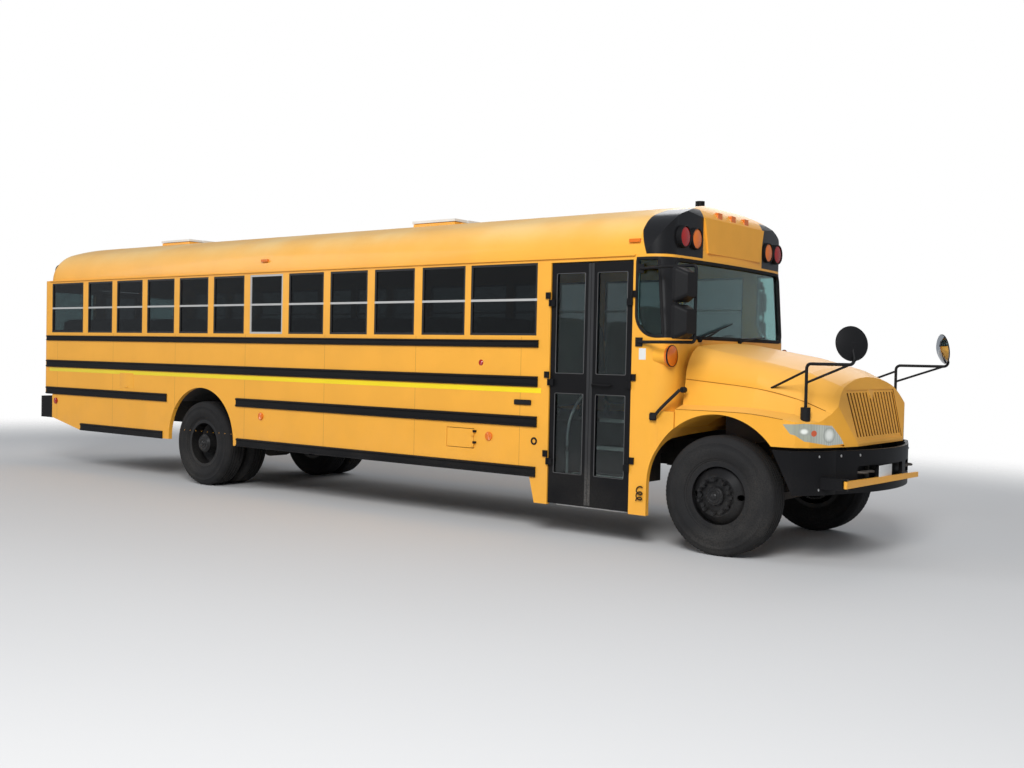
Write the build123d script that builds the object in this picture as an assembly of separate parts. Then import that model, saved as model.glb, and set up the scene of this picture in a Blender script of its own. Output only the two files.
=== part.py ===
"""A conventional school bus: a ladder chassis with a nose hood, under a long panelled body with bench seats.

Lengths are in millimetres. While the pieces are made, X is measured forward from the front axle,
Y to the bus's left and Z up from the ground. save() then moves each piece so that X is 0 at mid-length.
"""

from build123d import *
import math
import os

# Driving dimensions of the body
BODY_WIDTH = 2438.0
WALL = 50.0
WHEELBASE = 7010.0
REAR_WALL_X = -10660.0
REAR_REACH = -10800.0
FRONT_REACH = 1235.0
FLOOR_TOP = 1065.0
FLOOR_THICK = 50.0
WALL_TOP = 2590.0
ROOF_RISE = 535.0
CROWN_Z = WALL_TOP + ROOF_RISE
SHOULDER_R = 400.0
SKIRT_Z = 530.0
COLUMN_Z = 285.0
HALF = BODY_WIDTH / 2
INNER = HALF - WALL
FLOOR_Z = FLOOR_TOP - FLOOR_THICK
ORIGIN_X = (REAR_REACH + FRONT_REACH) / 2
SEAT_GAP = 0.3
FAR = 20000.0

# Entrance door, on the right
DOOR_REAR_X = -1730.0
DOOR_FRONT_X = -830.0
DOOR_TOP = WALL_TOP - 45
DOOR_GAP = 6.0
LEAF_WIDTH = 434.0
LEAF_THICK = 40.0
HINGE_OUT = 16.0
KNUCKLE_R = 9.0
PIN_R = 4.0
PIN_DROP = 50.0

# Side windows
SILL_Z = 1866.0
WINDOW_TOP = WALL_TOP - 38
WINDOW_PITCH = 684.0
WINDOW_WIDTH = 579.0
FIRST_PITCHED_X = -9517.0
PITCHED_WINDOWS = 10
REAR_WINDOW = (-10426.0, -9637.0)
FRONT_WINDOW = (-2708.0, -1888.0)
DRIVER_WINDOW = (-1680.0, -960.0)
SASH = 22.0
SASH_FACE = HALF - 3
SASH_THICK = 26.0
GLASS_THICK = 6.0
MEETING_RAIL_Z = 2205.0

# Front of the body
NOSE_X = -410.0
CORNER_R = 210.0
CORNER_X = -660.0
LEAN = 55.0
CAP_SPLIT_X = -780.0
CAP_EDGE_R = 250.0
TAIL_EDGE_R = 330.0
GLASS_BASE_Z = 1840.0

# Wheels and axles
TYRE_R = 515.0
TYRE_HALF = 139.5
RIM_HALF = 105.0
RIM_R = 286.0
BEAD_R = RIM_R + 0.3
FRONT_WHEEL_Y = 1010.0
KINGPIN_Y = 850.0
KINGPIN_R = 24.0
OUTER_DUAL_Y = 1050.0
INNER_DUAL_Y = 710.0
ARCH_R = 650.0
ARCH_Z = 560.0
SPINDLE_R = 42.0
BORE_R = SPINDLE_R + SEAT_GAP
ARM_X = -240.0
ARM_Z = (395.0, 435.0)
REAR_AXLE_X = -WHEELBASE

# Ladder frame
RAIL_OUTER_Y = 432.0
RAIL_TOP = 935.0
RAIL_BOTTOM = 678.0
RAIL_FLANGE = 76.0
RAIL_WEB = 10.0

# Hood: pivot, then stations of (x, roof z), (y, z) of roof edge, shoulder, crease and fender, and sill z
HOOD_PIVOT = (930.0, 985.0)
HOOD_PIN_R = 8.0
HOOD_REAR_X = NOSE_X + 12
HOOD_HALF = HALF - 33
FENDER_FOOT_Z = 900.0
HOOD_BOTTOM = 972.0
HOOD_SKIN = 30.0
HOOD_STATIONS = (
    (-430.0, 1835.0, 800.0, 1795.0, 985.0, 1620.0, 1010.0, 1500.0, 1050.0, 1275.0, 1235.0),
    (250.0, 1725.0, 760.0, 1665.0, 925.0, 1540.0, 960.0, 1435.0, 1040.0, 1275.0, 1232.0),
    (620.0, 1635.0, 690.0, 1573.0, 850.0, 1460.0, 925.0, 1355.0, 1030.0, 1240.0, 1195.0),
    (850.0, 1550.0, 610.0, 1475.0, 780.0, 1375.0, 880.0, 1265.0, 1000.0, 1175.0, 1135.0),
    (1080.0, 1410.0, 540.0, 1320.0, 700.0, 1250.0, 830.0, 1165.0, 980.0, 1110.0, 1080.0),
)

# Seats
SEAT_ROWS = 12
FIRST_ROW_X = -10250.0
SEAT_Y = (175.0, INNER - 19)
SEAT_DEPTH = 400.0
CUSHION_Z = (1395.0, 1510.0)
BACK_TOP = 2060.0
BARRIER_X = -2040.0
BARRIER_FOOT = 1180.0


def block(x0, x1, y0, y1, z0, z1):
    """A box between two corners."""
    return Pos((x0 + x1) / 2, (y0 + y1) / 2, (z0 + z1) / 2) * Box(x1 - x0, y1 - y0, z1 - z0)


def rect(a0, a1, b0, b1, radius=0.0):
    """A rectangle between two corners of a drawing plane, with round corners if a radius is given."""
    shape = RectangleRounded(a1 - a0, b1 - b0, radius) if radius else Rectangle(a1 - a0, b1 - b0)
    return Pos((a0 + a1) / 2, (b0 + b1) / 2) * shape


def along_x(sketch, x0, x1):
    """A cross-section drawn in (Y, Z), carried from x0 to x1."""
    plane = Plane(origin=(x0, 0, 0), x_dir=(0, 1, 0), z_dir=(1, 0, 0))
    return extrude(plane * sketch, amount=x1 - x0)


def along_y(sketch, y0, y1):
    """A side view drawn in (X, Z), carried from y0 to y1."""
    plane = Plane(origin=(0, y1, 0), x_dir=(1, 0, 0), z_dir=(0, -1, 0))
    return extrude(plane * sketch, amount=y1 - y0)


def along_z(sketch, z0, z1):
    """A plan drawn in (X, Y), carried from z0 to z1."""
    return extrude(Plane.XY.offset(z0) * sketch, amount=z1 - z0)


def outline(*points):
    """A closed outline of straight lines."""
    return make_face(Polyline(*points, close=True))


def flipped(*solids):
    """The same pieces on the other side of the bus."""
    return [mirror(solid, about=Plane.XZ) for solid in solids]


def both(*solids):
    """Pieces of one side with their mirror images on the other side."""
    return [*solids, *flipped(*solids)]


def bar(start, end, radius):
    """A round bar between two points."""
    line = Line(start, end)
    return sweep(Plane(origin=start, z_dir=line % 0) * Circle(radius), path=line)


def tube(points, radius, bend):
    """A round tube along straight runs with bends of one radius."""
    path = FilletPolyline(*points, radius=bend)
    return sweep(Plane(origin=path @ 0, z_dir=path % 0) * Circle(radius), path=path)


def across(x, z, radius, y0, y1):
    """A round disc or shaft along Y."""
    return along_y(Pos(x, z) * Circle(radius), y0, y1)


def lengthways(y, z, radius, x0, x1):
    """A round disc or shaft along X."""
    return along_x(Pos(y, z) * Circle(radius), x0, x1)


def upright(x, y, radius, z0, z1):
    """A round post along Z."""
    return along_z(Pos(x, y) * Circle(radius), z0, z1)


def spun(points, x):
    """A profile of (radius, y) turned about a wheel's axis at x."""
    face = Plane.XY.offset(TYRE_R) * Pos(x, 0) * outline(*points)
    return revolve(face, axis=Axis((x, 0, TYRE_R), (0, 1, 0)))


def save(name, *pieces):
    """Writes one sub-part's solids to its STEP file, with X measured from mid-length."""
    solids = [solid for piece in pieces for solid in piece.solids()]
    moved = Compound(solids).moved(Location((-ORIGIN_X, 0, 0)))
    export_step(moved, f"parts/{name}.step")


# Shell of the body


def roof_section(inset):
    """The roof's arch: shoulder arcs tangent to the walls and to one crown arc."""
    side = HALF - inset
    shoulder = SHOULDER_R - inset
    rise = CROWN_Z - inset - WALL_TOP
    centre = side - shoulder
    crown = (centre**2 + rise**2 - shoulder**2) / (2 * (rise - shoulder))
    lean = math.atan2(crown - rise, centre)
    knee_y = centre + shoulder * math.cos(lean)
    knee_z = WALL_TOP + shoulder * math.sin(lean)
    middle_y = centre + shoulder * math.cos(lean / 2)
    middle_z = WALL_TOP + shoulder * math.sin(lean / 2)
    lines = [
        ThreePointArc((side, WALL_TOP), (middle_y, middle_z), (knee_y, knee_z)),
        ThreePointArc((knee_y, knee_z), (0, WALL_TOP + rise), (-knee_y, knee_z)),
        ThreePointArc((-knee_y, knee_z), (-middle_y, middle_z), (-side, WALL_TOP)),
        Line((-side, WALL_TOP), (side, WALL_TOP)),
    ]
    return make_face(Curve() + lines)


def body_plan(inset, rear, lean=0.0):
    """The body's plan from x = rear forward: straight sides, round front corners and a bowed front."""
    side = HALF - inset
    corner = CORNER_R - inset
    start = CORNER_X - lean
    corner_y = side - corner
    reach = corner * math.sqrt(0.5)
    lines = [
        Line((rear, side), (rear, -side)),
        Line((rear, -side), (start, -side)),
        ThreePointArc((start, -side), (start + reach, -corner_y - reach), (start + corner, -corner_y)),
        ThreePointArc((start + corner, -corner_y), (NOSE_X - inset - lean, 0), (start + corner, corner_y)),
        ThreePointArc((start + corner, corner_y), (start + reach, corner_y + reach), (start, side)),
        Line((start, side), (rear, side)),
    ]
    return make_face(Curve() + lines)


def rounded_end(form, x, radius):
    """A roof form with the rim of its end at x rounded off."""
    rim = form.edges().filter_by(lambda e: abs(e.center().X - x) < 1 and e.center().Z > WALL_TOP)
    return fillet(rim, radius)


def roof_tail(inset, front=CAP_SPLIT_X):
    """The roof behind the front cap as a full solid with a rounded rear end, set in by inset."""
    rear = REAR_WALL_X + inset
    return rounded_end(along_x(roof_section(inset), rear, front), rear, TAIL_EDGE_R - inset)


def roof_cap(inset, rear=CAP_SPLIT_X):
    """The front cap as a full solid, where the roof's arch, the body's plan and a rounded brow meet."""
    front = NOSE_X - LEAN - inset
    top = CROWN_Z - inset
    radius = CAP_EDGE_R - inset
    bend = radius * (1 - math.sqrt(0.5))
    lines = [
        Line((rear, WALL_TOP), (front, WALL_TOP)),
        Line((front, WALL_TOP), (front, top - radius)),
        ThreePointArc((front, top - radius), (front - bend, top - bend), (front - radius, top)),
        Line((front - radius, top), (rear - 1, top)),
        Line((rear - 1, top), (rear, WALL_TOP)),
    ]
    brow = along_y(make_face(Curve() + lines), -HALF, HALF)
    arch_form = along_x(roof_section(inset), rear, front + 1)
    plan = along_z(body_plan(inset, rear, LEAN), WALL_TOP - 1, CROWN_Z + 1)
    return arch_form & plan & brow


def roof_form():
    """All of the roof as full solids, grown by the gap that fittings keep from it."""
    return [roof_tail(-SEAT_GAP), roof_cap(-SEAT_GAP)]


def windscreen_form(inset):
    """The leaning front of the body between hood and roof, as a full solid."""
    low = Plane.XY.offset(GLASS_BASE_Z) * body_plan(inset, DOOR_FRONT_X)
    high = Plane.XY.offset(WALL_TOP) * body_plan(inset, DOOR_FRONT_X, LEAN)
    return loft([low, high], ruled=True)


def arch(x, radius, y0, y1):
    """The space of a wheel arch: a round top with open ground below."""
    legs = block(x - radius, x + radius, y0, y1, 0, ARCH_Z)
    return across(x, ARCH_Z, radius, y0, y1) + legs


def window_bays():
    """Each side window of the passenger area as (rear x, front x)."""
    bays = [REAR_WINDOW, FRONT_WINDOW]
    for number in range(PITCHED_WINDOWS):
        x = FIRST_PITCHED_X + number * WINDOW_PITCH
        bays.append((x, x + WINDOW_WIDTH))
    return bays


SKIRT = (
    (-10480.0, 1000.0),
    (-10400.0, 1000.0),
    (-10400.0, 673.0),
    (-9690.0, SKIRT_Z),
    (-1940.0, SKIRT_Z),
    (-1878.0, COLUMN_Z),
)
FUEL_DOOR = (-2990.0, -2630.0, 747.0, 945.0)
FUEL_PIVOT_Y = HALF + 13
FUEL_HINGES = (800.0, 910.0)


def side_wall(front, skirt_end, bays):
    """A right-hand wall from the rear corner to x = front, with its windows and wheel arch cut."""
    points = [*SKIRT[:5], *skirt_end, (front, WALL_TOP), (SKIRT[0][0], WALL_TOP)]
    wall = along_y(outline(*points), -HALF, -INNER)
    for x0, x1 in bays:
        wall -= block(x0, x1, -FAR, 0, SILL_Z, WINDOW_TOP)
    return wall - arch(REAR_AXLE_X, ARCH_R - 10, -FAR, 0)


def window_sash(x0, x1):
    """One window's aluminium sash, with its meeting rail, in the right-hand wall."""
    frame = block(x0, x1, -SASH_FACE, SASH_THICK - SASH_FACE, SILL_Z, WINDOW_TOP)
    rail = (MEETING_RAIL_Z - SASH / 2, MEETING_RAIL_Z + SASH / 2)
    for z0, z1 in ((SILL_Z + SASH, rail[0]), (rail[1], WINDOW_TOP - SASH)):
        frame -= block(x0 + SASH, x1 - SASH, -FAR, 0, z0, z1)
    return frame


def window_glass(x0, x1):
    """The two panes of one side window."""
    y = -SASH_FACE + 10
    low = block(x0 + SASH, x1 - SASH, y, y + GLASS_THICK, SILL_Z + SASH, MEETING_RAIL_Z - SASH / 2)
    high = block(x0 + SASH, x1 - SASH, y, y + GLASS_THICK, MEETING_RAIL_Z + SASH / 2, WINDOW_TOP - SASH)
    return [low, high]


def side_walls():
    """Walls, windows and glass of both sides."""
    right_end = [(-1940.0, SKIRT_Z), (-1878.0, COLUMN_Z), (DOOR_REAR_X, COLUMN_Z)]
    left_end = [(-1940.0, SKIRT_Z), (DOOR_FRONT_X, SKIRT_Z)]
    bays = window_bays()
    right = side_wall(DOOR_REAR_X, right_end[1:], bays)
    x0, x1, z0, z1 = FUEL_DOOR
    right -= block(x0, x1, -FAR, 0, z0, z1)
    left = side_wall(DOOR_FRONT_X, left_end[1:], [*bays, DRIVER_WINDOW])
    right += block(DOOR_REAR_X - 1, DOOR_FRONT_X, -HALF, -INNER, DOOR_TOP, WALL_TOP)
    save("side_wall_right", right)
    save("side_wall_left", *flipped(left))
    sashes = [window_sash(*bay) for bay in bays]
    panes = [pane for bay in bays for pane in window_glass(*bay)]
    save("window_sashes", *both(*sashes), *flipped(window_sash(*DRIVER_WINDOW)))
    save("window_glass", *both(*panes), *flipped(*window_glass(*DRIVER_WINDOW)))


HATCHES = (("front", -4350.0), ("rear", -9150.0))
HATCH_LENGTH = 620.0
HATCH_HALF = 310.0
HATCH_Z = (CROWN_Z - 65, CROWN_Z + 17)
HATCH_HINGE = 16.0
HATCH_HINGE_Z = CROWN_Z + 9


def hatch_tab(x, grow):
    """The middle part of a hatch's hinge, which belongs to the lid, grown for its clearance."""
    centre = x + HATCH_LENGTH + HATCH_HINGE
    tab = across(centre, HATCH_HINGE_Z, KNUCKLE_R + grow, -100 - grow, 100 + grow)
    return tab + block(centre - 9, centre + 9, -100, 100, HATCH_HINGE_Z, HATCH_Z[1] + 34)


def roof_pieces():
    """Roof, front cap and the rings under the two hatches."""
    shell = roof_tail(0) - roof_tail(WALL, CAP_SPLIT_X + 1)
    rings = []
    for _, x in HATCHES:
        ring = block(x, x + HATCH_LENGTH, -HATCH_HALF, HATCH_HALF, *HATCH_Z)
        ring -= block(x + 40, x + HATCH_LENGTH - 40, 40 - HATCH_HALF, HATCH_HALF - 40, 0, FAR)
        ring += across(x + HATCH_LENGTH + HATCH_HINGE, HATCH_HINGE_Z, KNUCKLE_R, -200, 200)
        end = x + HATCH_LENGTH
        ring += block(end - 1, end + HATCH_HINGE, -200, 200, HATCH_HINGE_Z - 6, HATCH_HINGE_Z + 6)
        ring = ring - roof_form() - hatch_tab(x, DOOR_GAP)
        rings.append(ring + across(x + HATCH_LENGTH + HATCH_HINGE, HATCH_HINGE_Z, PIN_R, -150, 150))
        shell -= block(x + 40, x + HATCH_LENGTH - 40, 40 - HATCH_HALF, HATCH_HALF - 40, WALL_TOP, FAR)
    drips = both(block(SKIRT[0][0], -810, -HALF - 18, -HALF, WALL_TOP - 12, WALL_TOP))
    low, high = WALL_TOP + 52, WALL_TOP + 370
    panel = outline((-529, low), (529, low), (604, high), (-604, high))
    signs = along_x(panel, -700, NOSE_X - LEAN + 4) + along_x(panel, REAR_WALL_X - 5, -10500)
    save("roof", shell, *rings, *drips, signs - roof_form())
    save("front_cap", roof_cap(0) - roof_cap(WALL, CAP_SPLIT_X - 1))


REAR_DOOR_HALF = 330.0
REAR_DOOR_Z = (1003.0, WALL_TOP - 80)
REAR_WINDOWS_Y = (430.0, 1060.0)
REAR_WINDOW_Z = (1900.0, WALL_TOP - 140)
TAIL_CORNER_R = 110.0


def tail_plan(inset):
    """Plan of the rear wall with its two round corners."""
    side = HALF - inset
    rear = REAR_WALL_X + inset
    corner = TAIL_CORNER_R - inset
    plan = rect(rear, rear + 400, -side, side)
    rim = plan.vertices().filter_by(lambda v: abs(v.X - rear) < 1)
    return fillet(rim, corner) & rect(rear, SKIRT[0][0], -side, side)


def rear_wall():
    """Rear wall with its doorway and windows, and the glass of the windows."""
    wall = along_z(tail_plan(0), 1000, WALL_TOP) - along_z(tail_plan(WALL), 0, FAR)
    wall -= block(-FAR, -10500, -REAR_DOOR_HALF, REAR_DOOR_HALF, REAR_DOOR_Z[0], REAR_DOOR_Z[1])
    panes = []
    y0, y1 = REAR_WINDOWS_Y
    z0, z1 = REAR_WINDOW_Z
    for low, high in ((y0, y1), (-y1, -y0)):
        wall -= block(-FAR, -10500, low, high, z0, z1)
        panes.append(block(REAR_WALL_X + 15, REAR_WALL_X + 21, low, high, z0, z1))
    save("rear_wall", wall)
    return panes


SCREEN_HALF = 1040.0
SCREEN_Z = (1872.0, WALL_TOP - 45)
QUARTER_X = (-785.0, -545.0)
QUARTER_R = 200.0
POD_OUT = HALF - 24


def quarter_view(grow):
    """Side view of the quarter window, with its large round corner at the lower rear."""
    x0, x1 = QUARTER_X[0] - grow, QUARTER_X[1] + grow
    z0, z1 = SCREEN_Z[0] - grow, SCREEN_Z[1] + grow
    view = outline((x0, z0), (x1, z0), (x1 - LEAN, z1), (x0, z1))
    corner = view.vertices().filter_by(lambda v: v.X < x0 + 1 and v.Y < z0 + 1)
    return fillet(corner, QUARTER_R + grow)


def front_cowl():
    """Front of the body: windscreen frame, corner panels and the splash panels behind the front wheels."""
    column = along_z(body_plan(0, DOOR_FRONT_X), COLUMN_Z, GLASS_BASE_Z)
    room = along_z(body_plan(WALL, DOOR_FRONT_X - 1), COLUMN_Z - 1, GLASS_BASE_Z)
    front = HOOD_REAR_X - DOOR_GAP
    pods = both(block(DOOR_FRONT_X + 70, front, -POD_OUT, 45 - POD_OUT, COLUMN_Z, 1213))
    lids = both(block(DOOR_FRONT_X + 70, front, 35 - POD_OUT, -900, 1190, 1213))
    liner = across(0, ARCH_Z, ARCH_R + 20, -POD_OUT, POD_OUT) - across(0, ARCH_Z, ARCH_R, -FAR, FAR)
    liner &= block(-ARCH_R - 20, front, -POD_OUT, POD_OUT, COLUMN_Z, 1100)
    liner -= block(-FAR, FAR, -520, 520, 0, FAR)
    lower = (column + pods + lids + liner) - room - arch(0, ARCH_R, -FAR, FAR)
    lower -= block(-FAR, FAR, -520, 520, 0, 1000)
    upper = windscreen_form(0) - windscreen_form(WALL)
    screen = windscreen_form(18) - windscreen_form(25)
    middle = block(-FAR, FAR, -SCREEN_HALF - 30, SCREEN_HALF + 30, 0, FAR)
    front_hole = along_x(rect(-SCREEN_HALF, SCREEN_HALF, *SCREEN_Z, 60), -600, 0)
    side_hole = along_y(quarter_view(0), -FAR, FAR) - middle
    save("front_cowl", lower + (upper - front_hole - side_hole))
    gap = SEAT_GAP
    view = rect(gap - SCREEN_HALF, SCREEN_HALF - gap, SCREEN_Z[0] + gap, SCREEN_Z[1] - gap, 60)
    quarter = along_y(quarter_view(-gap), -FAR, FAR) - middle
    save("body_glass", screen & along_x(view, -600, 0), screen & quarter, *rear_wall())


RAILS_Z = ((1751.0, 1825.0), (1379.0, 1481.0), (998.0, 1102.0), (525.0, 625.0))
RAIL_RUNS = (
    (-10640.0, -1860.0),
    (-10640.0, -1860.0),
    (-10640.0, -7700.0, -6320.0, -1860.0),
    (-9660.0, -7780.0, -6300.0, -1865.0),
)
RUB_OUT = 20.0


def rub_rail(x0, x1, z0, z1):
    """One rub rail on the right side, with two ribs along it."""
    ledge = (z1 - z0) / 5
    y = -HALF
    points = [(y, z0), (y - RUB_OUT, z0 + 6), (y - RUB_OUT, z0 + ledge), (y - RUB_OUT / 2, z0 + 1.4 * ledge)]
    points += [(y - RUB_OUT / 2, z1 - 1.4 * ledge), (y - RUB_OUT, z1 - ledge), (y - RUB_OUT, z1 - 6), (y, z1)]
    return along_x(outline(*points), x0, x1)


def rub_rails():
    """The four black rails along each side."""
    rails = []
    for (z0, z1), ends in zip(RAILS_Z, RAIL_RUNS):
        for x0, x1 in zip(ends[::2], ends[1::2]):
            rails.append(rub_rail(max(x0, REAR_WALL_X + TAIL_CORNER_R), x1, z0, z1))
    save("rub_rails", *both(*rails))


BEAM_INSET = 19.0


def under_body():
    """Floor, its cross beams, the wheel houses and the steps of the doorway."""
    floor = along_z(body_plan(WALL, REAR_WALL_X + WALL), FLOOR_Z, FLOOR_TOP)
    floor -= block(-FAR, SKIRT[0][0], -FAR, -INNER + 60, 0, FAR)
    floor -= block(-FAR, SKIRT[0][0], INNER - 60, FAR, 0, FAR)
    floor -= block(DOOR_REAR_X, DOOR_FRONT_X + 5, -FAR, STEPS[-1][0] + STEP_SHEET, 0, FAR)
    beams = []
    for number in range(14):
        x = -10300 + number * 690
        right = -430 if DOOR_REAR_X - 100 < x < DOOR_FRONT_X else BEAM_INSET - INNER
        beams += (block(x, x + 60, right, INNER - BEAM_INSET, RAIL_TOP, FLOOR_Z) - well_space(16)).solids()
    beams += block(-700, -660, 69 - INNER, INNER - 69, RAIL_TOP, FLOOR_Z).solids()
    save("floor_beams", *beams)
    house = across(REAR_AXLE_X, ARCH_Z, ARCH_R + 5, -INNER, -525)
    house -= across(REAR_AXLE_X, ARCH_Z, ARCH_R - 10, -INNER - 1, -540)
    house &= block(-FAR, 0, -INNER, -525, FLOOR_Z, FAR)
    save("floor", floor - well_space(15) + both(house))


def well_space(grow):
    """The room the rear wheel houses take up in floor and beams."""
    right = across(REAR_AXLE_X, ARCH_Z, ARCH_R - 10 + grow, -FAR, -540 + grow)
    return right + flipped(right)[0]


STEP_SHEET = 15.0
STEPS = ((-920.0, 310.0), (-680.0, 560.0), (-450.0, 812.0))


def step_well():
    """The entrance steps, each as (y of its riser, height of its tread)."""
    x0, x1 = DOOR_REAR_X + 1, DOOR_FRONT_X - 1
    edge = DOOR_GAP - INNER
    points = [(edge, STEPS[0][1])]
    for index, (y, z) in enumerate(STEPS):
        rise = STEPS[index + 1][1] if index + 1 < len(STEPS) else FLOOR_TOP
        points += [(y, z), (y, rise)]
    points.append((STEPS[-1][0] + STEP_SHEET - SEAT_GAP, FLOOR_TOP))
    for index in reversed(range(len(STEPS))):
        y, z = STEPS[index]
        points.append((y + STEP_SHEET - SEAT_GAP, z - STEP_SHEET))
        if index:
            points.append((STEPS[index - 1][0] + STEP_SHEET - SEAT_GAP, z - STEP_SHEET))
    points.append((edge, STEPS[0][1] - STEP_SHEET))
    well = along_x(outline(*points), x0, x1)
    back = STEPS[-1][0] + STEP_SHEET - SEAT_GAP
    sides = [(edge, STEPS[0][1] - STEP_SHEET), (edge, FLOOR_TOP), (back, FLOOR_TOP)]
    sides += [point for point in points[8:-1]]
    for a in (x0, x1 - 8):
        well += along_x(outline(*sides), a, a + 8)
    save("step_well", well)


def hinge_knuckles(x, y, side, spans, strap_to, face):
    """Knuckles about an upright pivot, with straps that run to x = strap_to on a panel's face."""
    pieces = []
    for z0, z1 in spans:
        low, high = sorted((x, strap_to))
        leaf = block(low, high, *sorted((y + side * 2, face)), z0, z1)
        pieces.append(upright(x, y, KNUCKLE_R, z0, z1) + leaf)
    return pieces


def with_pins(knuckles, x, y, spans):
    """Fixed knuckles, each with a pin that drops into the moving knuckle below it."""
    return [knuckle + upright(x, y, PIN_R, z0 - PIN_DROP, z0) for knuckle, (z0, _) in zip(knuckles, spans)]


def bored(leaf, x, y, spans):
    """A moving leaf with the bores in its knuckles that take the fixed pins."""
    for z0, z1 in spans:
        leaf -= upright(x, y, PIN_R + SEAT_GAP, z1 - PIN_DROP, z1 + 1)
    return leaf


DOOR_PIVOT_Y = -HALF - HINGE_OUT
LEAF_SPANS = ((660.0, 720.0), (1400.0, 1460.0), (2140.0, 2200.0))
WALL_SPANS = ((730.0, 790.0), (1470.0, 1530.0), (2210.0, 2270.0))
LEAF_Y = (-HALF + 10, -HALF + 10 + LEAF_THICK)
LEAF_Z = (300.0, DOOR_TOP - 8)
LEAF_PANES_Z = ((590.0, 1330.0), (1520.0, 2440.0))


def door_leaf(x0, x1, pivot_x):
    """One outward-opening leaf, and the panes that fill its two windows."""
    leaf = block(x0, x1, *LEAF_Y, *LEAF_Z)
    panes = []
    for z0, z1 in LEAF_PANES_Z:
        leaf -= block(x0 + 60, x1 - 60, -FAR, 0, z0, z1)
        y = LEAF_Y[0] + 15
        panes.append(block(x0 + 60, x1 - 60, y, y + GLASS_THICK, z0, z1))
    strap = x0 + 50 if pivot_x < x0 else x1 - 50
    for piece in hinge_knuckles(pivot_x, DOOR_PIVOT_Y, 1, LEAF_SPANS, strap, LEAF_Y[0]):
        leaf += piece
    return bored(leaf, pivot_x, DOOR_PIVOT_Y, LEAF_SPANS), panes


def entrance_door():
    """The two leaves of the entrance door, their glass and the knuckles fixed to the body."""
    rear, rear_panes = door_leaf(DOOR_REAR_X + DOOR_GAP, DOOR_REAR_X + DOOR_GAP + LEAF_WIDTH, DOOR_REAR_X)
    edge = DOOR_FRONT_X - DOOR_GAP
    front, front_panes = door_leaf(edge - LEAF_WIDTH, edge, DOOR_FRONT_X)
    save("door_leaf_rear", rear)
    save("door_glass_rear", *rear_panes)
    save("door_leaf_front", front)
    save("door_glass_front", *front_panes)
    fixed = []
    for x, side in ((DOOR_REAR_X, -1), (DOOR_FRONT_X, 1)):
        knuckles = hinge_knuckles(x, DOOR_PIVOT_Y, 1, WALL_SPANS, x + side * 50, -HALF)
        fixed += with_pins(knuckles, x, DOOR_PIVOT_Y, WALL_SPANS)
    return fixed


REAR_DOOR_PIVOT = (REAR_WALL_X - HINGE_OUT, -REAR_DOOR_HALF - 2)
REAR_LEAF_SPANS = ((1180.0, 1240.0), (1720.0, 1780.0), (2300.0, 2360.0))
REAR_WALL_SPANS = ((1250.0, 1310.0), (1790.0, 1850.0), (2370.0, 2430.0))


def rear_door():
    """The emergency door in the rear wall, hung at its right edge, with its two panes."""
    x0, x1 = REAR_WALL_X + 4, REAR_WALL_X + 44
    y0, y1 = 8 - REAR_DOOR_HALF, REAR_DOOR_HALF - 8
    z0, z1 = REAR_DOOR_Z[0] + 8, REAR_DOOR_Z[1] - 8
    leaf = block(x0, x1, y0, y1, z0, z1)
    panes = []
    for low, high in ((1230, 1560), (1900, 2420)):
        leaf -= block(-FAR, 0, y0 + 70, y1 - 70, low, high)
        panes.append(block(x0 + 15, x0 + 21, y0 + 70, y1 - 70, low, high))
    x, y = REAR_DOOR_PIVOT
    for low, high in REAR_LEAF_SPANS:
        leaf += upright(x, y, KNUCKLE_R, low, high)
        leaf += block(x - 5, REAR_WALL_X - 6, y, y0 + 50, low, high)
        leaf += block(REAR_WALL_X - 7, x0, y0 + 5, y0 + 50, low, high)
    leaf = bored(leaf, x, y, REAR_LEAF_SPANS)
    fixed = []
    for low, high in REAR_WALL_SPANS:
        plate = block(x - 5, REAR_WALL_X, y - 60, y, low, high)
        fixed.append(upright(x, y, KNUCKLE_R, low, high) + plate)
    fixed = with_pins(fixed, x, y, REAR_WALL_SPANS)
    handle = block(x0 - 35, x0, 180, 290, 1640, 1665)
    save("rear_door", leaf + handle)
    save("rear_door_glass", *panes)
    return fixed


# Hood and nose


def hood_section(inset, station):
    """One station of the hood: a crown arc, shoulder arcs down to the creases, and straight fender sides."""
    x, top, *points, sill_z = station
    places = list(zip(points[::2], points[1::2]))
    edge, side, crease, fender = [(y - inset, z - inset) for y, z in places]
    sill = (HOOD_HALF - inset, sill_z - inset)
    foot = (HOOD_HALF - inset, FENDER_FOOT_Z)
    lines = [ThreePointArc((-edge[0], edge[1]), (0, top - inset), edge)]
    lines += [ThreePointArc(edge, side, crease), Polyline(crease, fender, sill, foot)]
    lines += [Line(foot, (-foot[0], foot[1]))]
    lines += [Polyline(*[(-y, z) for y, z in (foot, sill, fender, crease)])]
    lines += [ThreePointArc(*[(-y, z) for y, z in (crease, side, edge)])]
    plane = Plane(origin=(x, 0, 0), x_dir=(0, 1, 0), z_dir=(1, 0, 0))
    return plane * make_face(Curve() + lines)


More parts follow.
